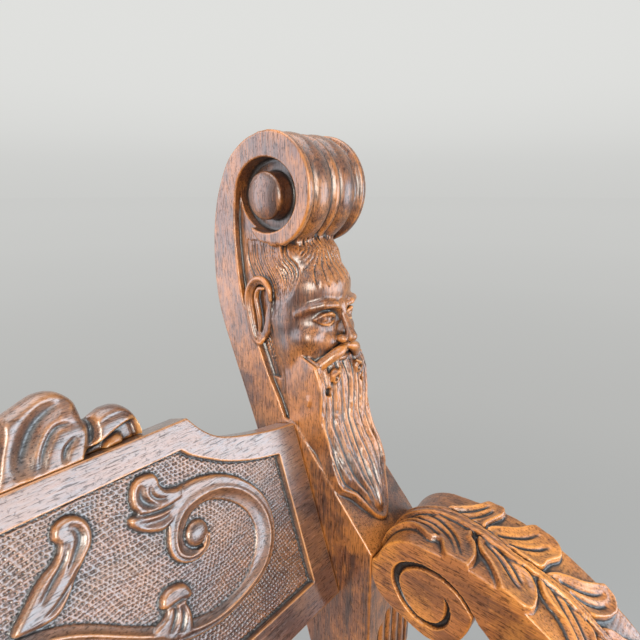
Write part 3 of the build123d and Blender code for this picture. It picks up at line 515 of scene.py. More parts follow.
def carve_beard(clay):
    """Long pointed beard that lies down the post's front slope."""
    part, x, y, z = clay.window((-3, -92, -232), (POST_WIDTH + 3, 4, -100))
    u, s = np.ix_(*(np.arange(low, high + 1, dtype=np.float32) for low, high in (BEARD_ACROSS, BEARD_DOWN)))
    flat = outline_distance(spread(BEARD, 6, closed=True), u, s)
    place = x - BEARD_ACROSS[0], slope_place(y, z)[0] - BEARD_DOWN[0]
    profile = outline_distance(spread(BEARD_SIDE, 5, closed=True), y, z)
    crown = 4.5 * (np.abs(x - MID) / MID) ** 2.4
    body = profile + crown + sample(beard_grooves(flat, u, s), *place)
    clay.join(part, soft_max(body, sample(flat, *place), 2), 0.8)


def carve_moustache(clay):
    """Moustache, and the curled locks that hang over the beard under it."""
    for side in (-1, 1):
        whole = spread([at(side, *point) for point in MOUSTACHE], 4)
        thick = np.interp(np.linspace(0, 1, len(whole)), (0, 0.3, 0.7, 1), (2.4, 3.9, 3.5, 1))
        clay.rope(whole, thick, 1)
        for up, out in ((2.6, -0.6), (0.9, 1.7), (-1.2, 2.0), (-2.8, 0.2)):
            clay.rope(whole + (side * 0.35 * out, -0.9 * out, up), 0.55, 0.5, remove=True)
        for u, y, z, r in ((12.5, -42.5, -119.5, 3), (18.2, -38, -128.5, 3.2), (23.2, -31.5, -137, 3)):
            clay.egg(at(side, u, y - 1, z), (r + 1.5, 3.4, r + 2.2), 1.4)
            clay.egg(at(side, u, y - 4.2, z - 1.2), (r - 0.6, 4.2, r - 0.1), 0.7, remove=True)
            lock = [(u - 3.5, y - 2.6, z + 5.5), (u - 0.5, y - 4.2, z + 3.4), (u + 3.6, y - 2, z + 1),
                    (u + 4.2, y - 0.6, z - 3.4)]
            clay.rope([at(side, *point) for point in lock], (0.6, 1.2, 1.1, 0.6), 0.7)


def side_to_frame(points, side):
    """From the left post's carving frame to the row frame, on either side of the chair."""
    return np.column_stack([side * (SIDE_X + points[:, 0]), SCROLL_Y + points[:, 1], SCROLL_Z + points[:, 2]])


def upper_posts():
    """Scroll, bearded head and fluted front of each back post."""
    clay = Clay((-5, -93, HEAD_CUT - 3), (62, 63, 39), CELL["upper post"])
    _, x, y, z = clay.window()
    carve_scroll(clay, outline_distance(post_outline(), y, z))
    carve_head(clay)
    carve_beard(clay)
    carve_moustache(clay)
    carve_hair(clay)
    carve_ear(clay)
    facing = 1 - smooth(y - POST_FRONT, 8, 14)
    low = int((FLUTE_TOP + 4 - clay.low[2]) / clay.step)
    clay.field[:, :, :low] += (flute_depth(np.abs(x - MID), z) * facing)[:, :, :low]
    whole = clay.field
    for side in (LEFT, RIGHT):
        clay.field = whole.copy()
        if side == RIGHT:
            # room for the panel's bevelled end
            up, back = panel_place(y, z)
            room = np.maximum(up - PANEL_END - 2, -42 - up)
            clay.cut(clay.window()[0], np.maximum((x - CATCH_SLOPE * back) / CATCH_LENGTH, room), 0.4)
        clay.field = np.maximum(clay.field, HEAD_CUT - SEAM_LAP - z)
        points, quads, marks = clay.surface()
        piece = add_piece(f"post_{SIDE_NAME[side]}_carved", (side_to_frame(points, side), quads, marks),
                          f"back_post_{SIDE_NAME[side]}", "carved_walnut", "z", mirror=side == RIGHT)
        piece.data.set_sharp_from_angle(angle=SHARP)


# ---------------------------------------------------------------- back panel and crest
# both are worked flat: x across the chair, y behind the face, z up the panel
PANEL_FOOT = (-62.5, -273.7)
RECLINE = math.radians(19.7)
PANEL_THICK = 20
PANEL_END = 125
PANEL_MID = 157
GROUND_SINK = 4.2
PUNCH_PITCH = 2.2
PUNCH_DEPTH = 0.95
RELIEF = 3.9      # height of the scrolls and leaves over the ground
BOSS_TALL = 4.1
ROUND_OFF = 2.6   # how far in from its edge a leaf is rounded
# the panel's right end is bevelled behind the post
CATCH_SLOPE = 0.6
CATCH_LENGTH = math.hypot(1, CATCH_SLOPE)
CATCH_REACH = 13
# lines on the panel are of one half, inwards from the post and up, and the other half mirrors it
TOP_EDGE = [(0.3, 125), (21, 128), (41, 132.7), (55.5, 137.3), (64, 142), (71, 148.7), (77, 157)]
GROUND_EDGE = [(19.5, 110.6), (40, 115.8), (58, 122.7), (70, 129.5), (80, 136), (85.5, 141.5)]
VOLUTE_OUTER = [(80.6, 90), (83.4, 83.8), (88.5, 80.9), (95, 80.5), (101.2, 83.2), (105.4, 88.4),
                (106.5, 94.7), (105.2, 100.6), (103.6, 106.5), (101, 114), (94, 120.5), (85.6, 122.6),
                (75.1, 121.2), (64.6, 117.6), (54.5, 111.2), (46, 102.8), (39.4, 93), (36.4, 82.5),
                (36.6, 71.7), (40.3, 61.6), (47, 52.6), (56.7, 46.6), (68.4, 43), (82, 40.8), (95, 41.2),
                (107, 43.6), (118, 48.5), (130, 56.5), (142, 66), (154, 75), (167, 82.5), (182, 86.5),
                (196, 86), (206, 82.5)]
VOLUTE_RIDGE = [(84.5, 89.2), (87.2, 85.6), (92, 83.9), (97.4, 85.2), (101.2, 89.4), (101.6, 95.2),
                (100, 100.6), (96.8, 105.6), (91, 109.6), (83.8, 111.3), (74.4, 111.4), (65.3, 109.1),
                (56.7, 104.1), (48.8, 96), (43.4, 86.1), (41.4, 76.2), (42.9, 66.1), (48.2, 57.2),
                (55.6, 51.4), (65.3, 47.8), (77, 45.4), (89, 45), (99.5, 46.8), (109.5, 50.4), (119, 55.4),
                (129.5, 62.2), (141, 71), (152.5, 80), (165, 87.5), (180, 91.8), (195, 91.8), (206, 88.5)]
VOLUTE_INNER = [(84.8, 92), (88.5, 89.5), (92.6, 89), (95.4, 91.4), (95.8, 95), (94, 99.4), (89.2, 104.4),
                (81.5, 106.9), (74, 105.8), (65.9, 101.5), (57.9, 94.5), (52.4, 85.6), (50.6, 76),
                (52.6, 66.8), (58.4, 58.2), (66.5, 52), (77, 48.9), (88.5, 48.6), (98, 50.4), (107.5, 54.2),
                (116.5, 58.6), (127.3, 65.2), (138.5, 73.5), (150.6, 83.2), (163.5, 91), (179, 96),
                (195, 96.6), (206, 94)]
LEAF = [(104, 136.2), (110.5, 137.4), (115.2, 135.6), (118.2, 130.7), (118.8, 124.5), (117.4, 120.2),
        (121.8, 119.4), (122, 115.4), (117.4, 110.2), (111.9, 106.8), (106.1, 105), (100, 107), (90, 112.2),
        (82, 113), (80, 121), (88, 122.6), (94, 123.2), (99, 125), (101.4, 128.4), (101.6, 132.4)]
LOW_LEAF = [(108.5, 75.6), (103.3, 73.2), (100.5, 67.6), (101.7, 64.6), (104.7, 63.6), (103.7, 58),
            (104.5, 51), (107.5, 46.5), (119.5, 51), (126.5, 60.5), (119.5, 63.4), (116.9, 66.4),
            (118.7, 68.8), (117.5, 73.2), (113.5, 75.8)]
SIDE_LEAF = [(176, 96), (163, 95), (156, 100.5), (150.5, 107.5), (144.7, 113.6), (141, 117.6), (139.4, 123),
             (140.2, 128.6), (143.6, 133.4), (149, 135.6), (154.5, 133.6), (156.4, 128.6), (154.8, 124),
             (158, 119), (166, 114), (173, 107), (180, 99)]
# grooves: their line, width and depth
LEAF_CUTS = [([(110.4, 132.6), (112.8, 129.6), (112.6, 125.2), (109.6, 121), (104.6, 118)], 2.3, 2.6),
             ([(106.8, 131), (107.8, 126.6), (105.2, 122.4), (99.6, 119.6)], 1.3, 1.5),
             ([(119.2, 119.9), (113.3, 117.5), (106.2, 115.6), (98.6, 115.2), (90, 116.4)], 1.15, 2.3),
             ([(118.8, 115.4), (112.6, 112.6), (105.6, 111), (98.4, 111.8), (91, 113.8)], 1.9, 1.5)]
LOW_LEAF_CUTS = [([(112.1, 67), (112.3, 62), (115.1, 57.6), (118.5, 55)], 1.2, 1.9),
                 ([(108.3, 65), (108.3, 59), (110.9, 53.6), (114.5, 50.4)], 1.3, 1.7),
                 ([(102, 65.4), (107.5, 66.6), (113.5, 67), (118.1, 67)], 0.9, 1.3)]
SIDE_LEAF_CUTS = [([(149.4, 131), (146, 128), (145.4, 122.6), (149.2, 116.4), (155, 110)], 2.1, 2.4),
                  ([(150.6, 125), (154.4, 117), (161, 110.6), (168, 104)], 1.4, 1.9),
                  ([(148, 113), (154, 106), (161, 100.6), (168, 98)], 1.1, 1.5)]
BOSS = (88.4, 93.6)


def panel_place(y, z):
    """Up the panel and behind its face, from a place in the post's frame."""
    y, z = y - PANEL_FOOT[0], z - PANEL_FOOT[1]
    return y * math.sin(RECLINE) + z * math.cos(RECLINE), y * math.cos(RECLINE) - z * math.sin(RECLINE)


def panel_to_frame(points):
    """From the flat plank to its reclined place in the row frame."""
    sin, cos = math.sin(RECLINE), math.cos(RECLINE)
    x, y, z = points.T
    foot_y, foot_z = SCROLL_Y + PANEL_FOOT[0], SCROLL_Z + PANEL_FOOT[1]
    return np.column_stack([x, foot_y + y * cos + z * sin, foot_z - y * sin + z * cos])


def ribbon(u, v, outer, ridge, inner, tall=RELIEF):
    """Scrolling band: a rounded outer flank, a crisp ridge and a hollow inner flank."""
    outer, ridge, inner = (spread(line, 6) for line in (outer, ridge, inner))
    edge = outline_distance(np.vstack([outer, inner[::-1]]), u, v)
    near, _, side = line_distance(ridge, u, v)
    out, within = (near / np.maximum(near + line_distance(line, u, v)[0], 0.01) for line in (outer, inner))
    flank = tall - 0.95 * smooth(out, 0, 0.55) + 0.75 * smooth(out, 0.35, 0.85) - 2 * out**5
    hollow = tall - (tall - 1) * (1 - (1 - within) ** 2.1)
    return np.where(edge < 0, np.where(side < 0, flank, hollow) * smooth(-edge, -0.2, 0.5), 0)


def gouge(u, v, line, width, depth):
    """Groove that runs out at both ends."""
    d, along, _ = line_distance(spread(line, 6), u, v)
    return depth * swell(along) ** 1.5 * bell(d, width)


def pillow(u, v, outline, tall, round_off, cuts=()):
    """Shape with a rounded edge and grooves in it."""
    edge = -outline_distance(spread(outline, 5, closed=True), u, v)
    height = tall * dome(1 - np.clip(edge / round_off, 0, 1))
    for cut in cuts:
        height = height - gouge(u, v, *cut)
    return np.maximum(height, 0)


def punched(u, v):
    """Rows of small round punch marks that wander over the ground."""
    a = u + 2.6 * np.sin(v * 0.055) + 1.6 * np.sin(u * 0.05 + 2) + 0.22 * v + 0.7 * np.sin(0.23 * v - 0.11 * u)
    b = v + 3.4 * np.sin(u * 0.045 + 1) + 1.4 * np.sin(v * 0.08) + 0.8 * np.sin(0.19 * u + 0.13 * v)
    row = np.floor(b / PUNCH_PITCH)
    place = a / PUNCH_PITCH + 0.37 * row
    wobble = np.sin(12.9898 * row + 78.233 * np.floor(place))
    fa = place % 1 - 0.5 + 0.13 * wobble
    fb = (b / PUNCH_PITCH) % 1 - 0.5 + 0.13 * np.sin(7.1 * wobble + row)
    return (0.85 + 0.15 * wobble) * np.exp(-(((fa**2 + fb**2) / 0.072) ** 1.6))


def relief(u, v):
    """Height of the scrollwork over the ground, one half, u inwards from the post."""
    tall = ribbon(u, v, VOLUTE_OUTER, VOLUTE_RIDGE, VOLUTE_INNER)
    tall = np.maximum(tall, pillow(u, v, LEAF, RELIEF, ROUND_OFF, LEAF_CUTS) * smooth(u, 81, 95))
    boss = np.hypot(u - BOSS[0], v - BOSS[1])
    tall = np.where((boss < 8.6) & ((u > 87.5) | (v > 97)), np.minimum(tall, 0.5), tall)
    tall = np.maximum(tall, BOSS_TALL * dome(boss / 7.2) ** 0.8)
    tall = np.maximum(tall, pillow(u, v, LOW_LEAF, RELIEF, ROUND_OFF, LOW_LEAF_CUTS))
    return np.maximum(tall, pillow(u, v, SIDE_LEAF, RELIEF, 3, SIDE_LEAF_CUTS))


def middle_relief(u, v):
    """Flower in an oval frame in the middle of the panel, u from its centre line."""
    r = np.hypot(u, (v - 80) * 0.86)
    oval = np.hypot(u / 31, (v - 80) / 39)
    rim = (oval - 1) * 33 / 5
    tall = np.where(np.abs(rim) < 1, RELIEF * dome(rim) - 1.2 * bell(rim - 0.25, 0.16), 0)
    angle = np.arctan2(u, v - 80)
    reach = 8 + 12.5 * np.abs(np.cos(angle * 4)) ** 0.6
    flower = RELIEF * dome(np.clip(r / reach, 0, 1) ** 2) * (0.62 + 0.38 * smooth(r, 6, 17))
    vein = 1.5 * bell(np.sin(angle * 4) * r, 2.2) * smooth(r, 7, 10)
    fold = 1.1 * bell(np.abs(np.sin(angle * 4)) * r - 4.2, 1.3) * smooth(r, 8, 12)
    tall = np.maximum(tall, np.where(oval < 0.84, np.maximum(flower - vein - fold, 0), 0))
    tall = np.where(r < 7.6, 0.6, tall)
    tall = np.maximum(tall, BOSS_TALL * dome(r / 6.6))
    sprig = [(-1, -4), (7, -2), (15, -1), (25, -4), (34, -10), (37, -7), (33, 0), (24, 5), (13, 6), (5, 9),
             (-1, 10)]
    vein = [(2, 3), (12, 2.5), (23, 1), (34, -6)]
    for foot, way in ((124, 1), (36, -1)):
        outline, cut = ([(a, foot + way * b) for a, b in line] for line in (sprig, vein))
        tall = np.maximum(tall, pillow(u, v, outline, 3.8, ROUND_OFF, [(cut, 1.2, 1.8)]))
    return tall


def add_flat_piece(name, clay, node):
    """A piece that is worked flat, turned into its place in the back."""
    points, quads, marks = clay.surface(fine=1.3, broad=4)
    add_piece(name, (panel_to_frame(points), quads, marks), node, "carved_walnut", "x")


def carved_panel():
    """Plank with its sunk and punched ground."""
    half = SIDE_X - 0.3
    clay = Clay((-half - 15, -2, -3), (half + 3, PANEL_THICK + 3, PANEL_MID + 3), CELL["panel"])
    _, x, y, z = clay.window()
    top = [(SIDE_X - a, s) for a, s in spread(TOP_EDGE, 5)]
    outline = [(half, 0), (half, PANEL_END)] + top + [(-a, s) for a, s in top[::-1]]
    outline += [(-half - CATCH_REACH, PANEL_END), (-half - CATCH_REACH, 0)]
    edge = soft_max(outline_distance(outline, x, z), np.maximum(-y, y - PANEL_THICK), 1.1)
    bevel = (-x - SIDE_X + 0.6 - CATCH_SLOPE * y) / CATCH_LENGTH
    clay.field = soft_max(edge, bevel, 0.6)
    ground = [(SIDE_X - a, s) for a, s in [(19.5, 20)] + list(spread(GROUND_EDGE, 5))]
    inside = outline_distance(ground + [(-a, s) for a, s in ground[::-1]], x, z)
    u = np.abs(x)
    tall = np.minimum(np.maximum(relief(SIDE_X - u, z), middle_relief(u, z)), GROUND_SINK - 0.1)
    rough = PUNCH_DEPTH * punched(x, z) * (1 - smooth(tall, 0, 0.6))
    trench = 0.7 * bell(inside + 0.9, 0.8)
    depth = (GROUND_SINK - tall + rough + trench) * smooth(-inside, 0, 0.7)
    clay.field = soft_max(clay.field, depth - y, 0.2).astype(np.float32)
    add_flat_piece("back_panel_carved", clay, "back_panel")


# the crest's outline and grooves, one half, from the middle outwards and up
CREST_LINE = [(134.5, 150), (134.8, 158), (134.2, 164), (131, 172), (125, 177.6), (117.5, 178.8),
              (110.8, 176.6), (107.4, 175.8), (106.4, 180), (104.6, 187), (98, 193.4), (89.5, 195),
              (79, 191.4), (71, 188.6), (66.5, 190.4), (57, 196.8), (46, 198.4), (36, 197.6), (31, 199.8),
              (22, 204), (11, 205.6), (0, 206)]
HOOK_HOLLOW = [(133.4, 158), (132.6, 166), (128, 167.6), (120.4, 165.8), (112, 162.6), (103, 159.8),
               (104, 156), (132, 155)]
TONGUE = [(113, 156), (115, 161), (120, 163.4), (124, 161), (123, 156)]
CREST_CUTS = [
    ([(103, 157), (107.6, 165), (108.8, 173), (107, 179)], 2.3, 5.5),
    ([(109, 168.5), (116, 171.8), (124, 172.2), (130, 168.6)], 1, 0.9),
    # second scroll, scooped towards its tip
    ([(74, 158), (78, 170), (86, 181), (96, 186), (101.5, 182)], 4.2, 5.2),
    ([(82, 158), (86, 168), (93, 176), (101, 175)], 1.6, 2.4),
    ([(92, 158), (95, 165), (101, 169)], 1.4, 2),
    ([(62, 157), (66, 170), (70.6, 182), (70.6, 190)], 2.2, 5),
    # third scroll, beside the shell
    ([(45, 158), (47, 172), (51, 184), (59, 190)], 3.4, 4.4),
    ([(54, 158), (56, 170), (61, 180)], 1.5, 2.2),
    ([(38, 157), (38.6, 172), (37, 186), (34.5, 199)], 2, 5.2),
]
SHELL_FOOT = 146
SHELL_R = 56


def crest_depth(u, v):
    """How deep the crest's front is carved, one half, u from the middle."""
    hollow = 9.5 * smooth(-outline_distance(spread(HOOK_HOLLOW, 4, closed=True), u, v), -0.2, 1.6)
    depth = hollow - np.minimum(pillow(u, v, TONGUE, 5.5, 4), hollow)
    for cut in CREST_CUTS:
        depth += gouge(u, v, *cut)
    # shell with flutes that fan out from its foot
    angle = np.arctan2(u, v - SHELL_FOOT)
    reach = np.hypot(u, v - SHELL_FOOT)
    shell = smooth(reach, 13, 20) * (1 - smooth(reach, SHELL_R - 1.5, SHELL_R + 1.5))
    shell = shell * (1 - smooth(u, 31, 35))
    flute = 1 - np.abs(np.sin(angle * 9.5)) ** 0.7
    return depth + shell * (1 + 3.2 * flute + 1.8 * smooth(SHELL_R - reach, 0, 24))


def carved_crest():
    """Carved crest over the panel's middle."""
    clay = Clay((-138, -1, 154), (138, 21, 209), CELL["crest"])
    _, x, y, z = clay.window()
    u = np.abs(x)
    edge = -outline_distance(np.vstack([spread(CREST_LINE, 4), [(-5, 206), (-5, 150)]]), u, z)
    half = 9 * dome(1 - np.clip((edge + 0.2) / 7, 0, 1)) - 0.4
    depth = crest_depth(u, z)
    middle = PANEL_THICK / 2
    back = 0.35 * np.minimum(depth, 4)
    body = soft_max(np.maximum(middle - half + depth - y, y - middle - half + back), -edge, 0.8)
    clay.field = soft_max(body, PANEL_MID - z, 0.3).astype(np.float32)
    clay.field = 0.5 * (box_blur(clay.field, 1) + clay.field)
    add_flat_piece("crest_carving_carved", clay, "crest_carving")


# ---------------------------------------------------------------- arms
ARM_SCROLL = (-122, -232.5)
GRIP = (-485.5, -306)
ARM_R = 34
ARM_LEVEL = -272
ARM_TOP = [(-122, -198.5), (-149, -197), (-166, -199.5), (-183, -205), (-200, -214), (-220, -229),
           (-240, -245.5), (-262, -260.5), (-288, -270), (-320, ARM_LEVEL)]
ARM_UNDER = [(-165.6, -237.5), (-180, -252), (-197, -267), (-216, -280), (-238, -290.5), (-264, -296.5),
             (-292, ARM_LEVEL - 26)]
VOLUTE_REAR = [(-88.4, -226), (-88, -233), (-89, -244), (-93.5, -252), (-101, -256.6), (-110, -259.6),
               (-120, -262.4), (-130, -263.6), (-139.5, -261), (-147.5, -254.5), (-152.5, -245),
               (-155, -236), (-155.6, -229.4)]
# groove of the rear volute, and half its width at each point
SPIRAL = [(-136.1, -226.2), (-139, -228.7), (-140.9, -233.2), (-141.1, -239.1), (-139.5, -245.5),
          (-135.3, -250.9), (-129.4, -253.3), (-123.2, -253.6), (-117.4, -251.2), (-112, -246.6),
          (-108.4, -241.4), (-106.3, -236.4), (-106, -230.6), (-108.4, -224.8), (-113, -220.2),
          (-118.8, -216.9), (-124.8, -215.2), (-130.7, -214.8), (-137.2, -215.6), (-142.9, -217.6),
          (-147.7, -220.6), (-151.7, -224.4), (-154.8, -228), (-157.5, -231.5)]
SPIRAL_HALF = [0.1, 0.8, 1.4, 1.7, 1.9, 1.9, 1.8, 1.9, 2.1, 2.2, 2.3, 2.5, 2.7, 2.6, 2.3, 2.1, 1.9, 1.7, 1.5,
               1.4, 1.2, 1.1, 1, 1]
# the leaf on the arm's top: x across from the inner face, s along from above the rear volute
MIDRIB = [(-45, 29), (-30, 29), (-15, 30.2), (-4, 32.8), (2, 33.1), (9, 32.6), (16, 31), (23, 29.4),
          (30, 27.5), (37, 26), (44, 25.2), (50, 25.4), (57, 26.2), (66, 27.4), (90, 28.5), (160, 28.5)]
MIDRIB_HALF = [(-30, 4), (0, 3.3), (20, 3.1), (35, 2.5), (50, 2.2), (66, 2.2), (110, 1.6), (150, 0.6)]
LAST_LOBE = [(28, 96), (21, 99), (17, 107), (11, 114), (6, 119), (6, 125), (12, 128), (19, 125), (28, 118)]
LAST_VEIN = [(25.5, 103), (20.5, 111), (15, 118), (12, 121)]
LOBES = [
    [(25, -44), (12.5, -44), (13, -20), (12.4, -11.5), (10.3, -6), (8.2, -1.5), (8, 2.2), (9.6, 4.6),
     (8.4, 7.6), (5, 10.1), (1.7, 12.7), (-1, 16.7), (-3, 22), (-2, 27.8), (2.2, 29.2), (8, 29.3), (13, 28),
     (18.7, 25), (22.5, 21), (29, 19), (31, 12), (31.5, 4), (31, -8), (29, -25)],
    [(26, 24), (18.7, 25.6), (15, 29.3), (11.2, 35.3), (6.7, 40.6), (2.3, 44.7), (-1, 47), (-1.5, 52),
     (-1, 58), (1, 62.5), (4, 64.6), (9.7, 64.3), (14.4, 62.6), (17.9, 60), (20.8, 56.4), (23, 51), (26, 44),
     (26, 34)],
    [(31, -12), (38, -3), (45, 7), (50.8, 12.6), (57, 16.5), (60, 22), (57.5, 27), (53.5, 29), (49, 28.8),
     (42.8, 26.4), (38, 24.5), (31.5, 23), (31, 10)],
    [(29, 27), (35.5, 25.8), (42.2, 33.5), (47.5, 38.6), (55.7, 43.6), (59, 50), (57, 58), (53, 63),
     (47.5, 64.8), (42, 62.5), (38, 60.6), (30, 58), (28, 45)],
    [(26.5, 60), (19.5, 62), (15, 68), (13, 77), (8, 85), (2, 91), (-1, 96), (1, 102), (7, 104.5), (14, 102),
     (20, 97), (26, 90), (28, 76)],
    [(28.5, 62), (35, 64), (41, 71), (46, 78), (53, 84), (58, 89), (57, 96), (51, 100), (44, 99), (37, 95),
     (30, 88), (28, 76)],
    LAST_LOBE,
    [(POST_WIDTH - x, s) for x, s in LAST_LOBE],
    [(28.5, 112), (24, 122), (20, 134), (22.5, 147), (28.5, 156), (34.5, 147), (37, 134), (33, 122)],
]
VEINS = [
    [(25, -40), (23, -19), (21.2, -10.7), (20.5, -4.5), (19, 1.7), (17, 6.8), (13.8, 11.6), (9.2, 15.6),
     (4.5, 18.5)],
    [(19, -40), (18, -18), (17.6, -10), (16.6, -3), (13.6, 3), (9, 7.6)],
    [(26.5, -8), (25, 0), (20.5, 8.4), (15.2, 14.4), (8.7, 19.5), (5, 22.3)],
    [(22.6, 29.5), (18.7, 38.5), (14.4, 45), (10.2, 50.6), (8.6, 54)],
    [(24, 34.5), (20.9, 42), (17, 48.9), (13.2, 53.8)],
    [(35.5, 0), (41, 9), (46.5, 14.8), (51.5, 19)],
    [(34, 8), (38.5, 15), (44, 19.6), (49, 22.6)],
    [(33, 33), (38.5, 40), (44.5, 45.6), (51, 49.4)],
    [(31, 40), (36.5, 48), (42, 53.6), (47.5, 56.8)],
    [(24, 68), (19, 77), (13.5, 86), (8, 93)],
    [(25.5, 75), (22, 83), (17, 91), (12.5, 96)],
    [(33.5, 70), (38.5, 79), (44.5, 86), (50, 90)],
    [(32, 77), (36, 85), (41, 91), (45.5, 94)],
    LAST_VEIN,
    [(POST_WIDTH - x, s) for x, s in LAST_VEIN],
]


def leaf_depth(x, s):
    """How deep the leaf's surface lies under the arm's top, over a grid of x and s."""
    depth = 3.4 * (1 - smooth(s, 150, 172)) + 0.12 * np.sin(2.1 * s + 3 * np.sin(0.9 * x)) * np.sin(1.9 * x)
    for lobe in LOBES:
        d = -outline_distance(spread(lobe, 5, closed=True), x, s)
        tip = smooth(s, 138, 152) if lobe is LOBES[-1] else smooth(np.abs(x - MID), 14, 27)
        dish = 1.1 * smooth(d, 1.6, 5.5) * (1 - 0.8 * tip)
        inner = 0.35 - 0.9 * bell(d - 1.4, 1.3) + dish - 0.8 * tip * smooth(d, 0.5, 4)
        share = smooth(d, -0.35, 0.75)
        depth = depth * (1 - share) + inner * share
    for vein in VEINS:
        d, along, _ = line_distance(spread(vein, 6), x, s)
        full = swell(0.10 + 0.84 * along) * (depth < 3)
        depth = depth + full * (1.5 * bell(d, 0.95) - 0.55 * bell(d - 2.2, 0.9))
    half = np.interp(s, *np.array(MIDRIB_HALF).T)
    d = np.abs(x - np.interp(s, *np.array(MIDRIB).T))
    present = 1 - smooth(s, 146, 154)
    rib = smooth(half + 0.3 - d, 0, 0.8) * present
    top = -0.55 + 0.7 * bell(d, 0.8) + 0.25 * (d / half) ** 2
    groove = 1.5 * bell(d - half - 0.9, 0.8) * present * (depth < 3)
    return ((depth + groove) * (1 - rib) + top * rib).astype(np.float32)


def cut_volute(clay, line):
    """Spiral groove on both faces of a volute."""
    part, x, y, z = clay.window((-3, *(line.min(0) - 5)), (POST_WIDTH + 3, *(line.max(0) + 5)))
    d, along, _ = line_distance(spread(line, 4), y, z)
    half = np.interp(along, np.linspace(0, 1, len(SPIRAL_HALF)), SPIRAL_HALF).astype(np.float32)
    depth = 3.6 * dome(d / half) * smooth(half, 0.1, 1.2)
    clay.cut(part, np.minimum(x, POST_WIDTH - x) - depth, 0.5)


def carved_arms():
    """Arm with a volute at each end and a leaf along its top, and its mirror image."""
    clay = Clay((-3, -524, -345), (60, -84, -193), CELL["arm"])
    _, x, y, z = clay.window()
    rear = round_line(ARM_SCROLL, ARM_R, 22, 84, 12)
    grip = round_line(GRIP, ARM_R, 90, 374, 50)
    top = np.vstack([rear, spread(ARM_TOP, 10)])
    outline = np.vstack([top, grip, ARM_UNDER[::-1], spread(VOLUTE_REAR[::-1], 4)])
    # along the top from the leaf's start, and round the grip
    line = np.vstack([top, grip[:34]])
    reach, along, _ = line_distance(line, y, z)
    lengths = np.hypot(*(line[1:] - line[:-1]).T)
    s = along * lengths.sum() - lengths[:len(rear)].sum()
    s_axis = np.arange(s.min() - 1, s.max() + 2, clay.step, dtype=np.float32)
    flat_x, flat_s = x[:, :, 0], s_axis[None, :]
    table = leaf_depth(flat_x, flat_s) + 0.55 * reed_profile(flat_x) * smooth(flat_s, 348, 372)
    cells = (x - clay.low[0]) / clay.step, (s - s_axis[0]) / clay.step
    # the top rises slightly towards the outer face
    depth = (sample(table, *cells) - 0.06 * x) * (1 - smooth(reach, 7, 11))
    side = np.minimum(x, POST_WIDTH - x)
    clay.field = soft_max(outline_distance(outline, y, z) + depth, -side, 1.2).astype(np.float32)
    spiral = np.array(SPIRAL)
    cut_volute(clay, spiral)
    cut_volute(clay, (GRIP[0] + ARM_SCROLL[0], GRIP[1] - ARM_SCROLL[1]) + spiral * (-1, 1))
    clay.field += uneven(x, y, z, 0.12)
    points, quads, marks = clay.surface()
    for side in (LEFT, RIGHT):
        name = f"arm_{SIDE_NAME[side]}"
        add_piece(f"{name}_carved", (side_to_frame(points, side), quads, marks), name, "carved_walnut", "y",
                  mirror=side == RIGHT)


# ---------------------------------------------------------------- worn pieces over plain CAD nodes
# middle line of a bent slat, with its foot on the other side of the chair (-1) and its top on its own (1)
BEND = [(-1, 48), (-1, 165), (1, 445), (1, 700)]
BEND_R = 180
FRONT_BEND_R = 120
# how far the front of each post's lower end lies in front of the scroll's centre
SETBACK = {LEFT: 83, RIGHT: 113}


def cad_clay(name, step, reach=5, pad=3):
    """A CAD node as clay, in millimetres of the row frame."""
    mesh = frame["nodes"][name].data
    points = np.empty(len(mesh.vertices) * 3, np.float32)
    mesh.vertices.foreach_get("co", points)
    points = points.reshape(-1, 3) * 1000
    mesh.calc_loop_triangles()
    triangles = np.empty(len(mesh.loop_triangles) * 3, np.int32)
    mesh.loop_triangles.foreach_get("vertices", triangles)
    clay = Clay(points.min(0) - pad, points.max(0) + pad, step)
    grid = openvdb.FloatGrid.createLevelSetFromPolygons(
        points=((points - clay.low) / step).astype(np.float32), triangles=triangles.reshape(-1, 3),
        halfWidth=float(reach))
    grid.copyToArray(clay.field)
    clay.field *= step
    return clay


def rub_edges(clay):
    """Rounds edges and corners, more on the outer ones."""
    soft = box_blur(clay.field, 1)
    clay.field = soft + 0.12 * np.maximum(soft - clay.field, 0)


def uneven(x, y, z, tall=0.22):
    """Slight waves that hand tools leave."""
    broad = np.sin(0.11 * x + 0.7 * np.sin(0.05 * z)) * np.sin(0.09 * z + 0.4 * np.sin(0.07 * x + 0.06 * y))
    return tall * (broad + 0.6 * np.sin(0.19 * z + 0.13 * x + 0.21 * y)).astype(np.float32)


def worn_piece(name, step, grain):
    """A CAD node with rubbed edges and slightly uneven faces."""
    clay = cad_clay(name, step)
    rub_edges(clay)
    _, x, y, z = clay.window()
    clay.field += uneven(x, y, z)
    add_piece(f"{name}_worn", clay.surface(fine=1.6, broad=3.5), name, "walnut", grain)


def worn_pieces():
    for side in SIDE_NAME.values():
        for number in range(1, 4):
            worn_piece(f"slat_{side}_{number}", CELL["slat"], "z")
        for number in range(1, 7):
            worn_piece(f"seat_slat_{side}_{number}", CELL["seat slat"], "x")
        worn_piece(f"runner_{side}", CELL["runner"], "y")


def rounded_path(points, radius, steps=12):
    """A path with its corners rounded to a radius."""
    p = np.array(points, float)
    out = [p[0]]
    for a, b, c in zip(p, p[1:], p[2:]):
        u, v = (a - b) / np.linalg.norm(a - b), (c - b) / np.linalg.norm(c - b)
        half = math.acos(np.clip(u @ v, -1, 1)) / 2
        centre = b + (u + v) / np.linalg.norm(u + v) * radius / math.sin(half)
        first, last = b + u * radius / math.tan(half) - centre, b + v * radius / math.tan(half) - centre
        turn = math.pi - 2 * half
        for t in np.linspace(0, 1, steps):
            swing = first * math.sin((1 - t) * turn) + last * math.sin(t * turn)
            out.append(centre + swing / math.sin(turn))
    return np.vstack(out + [p[-1]])


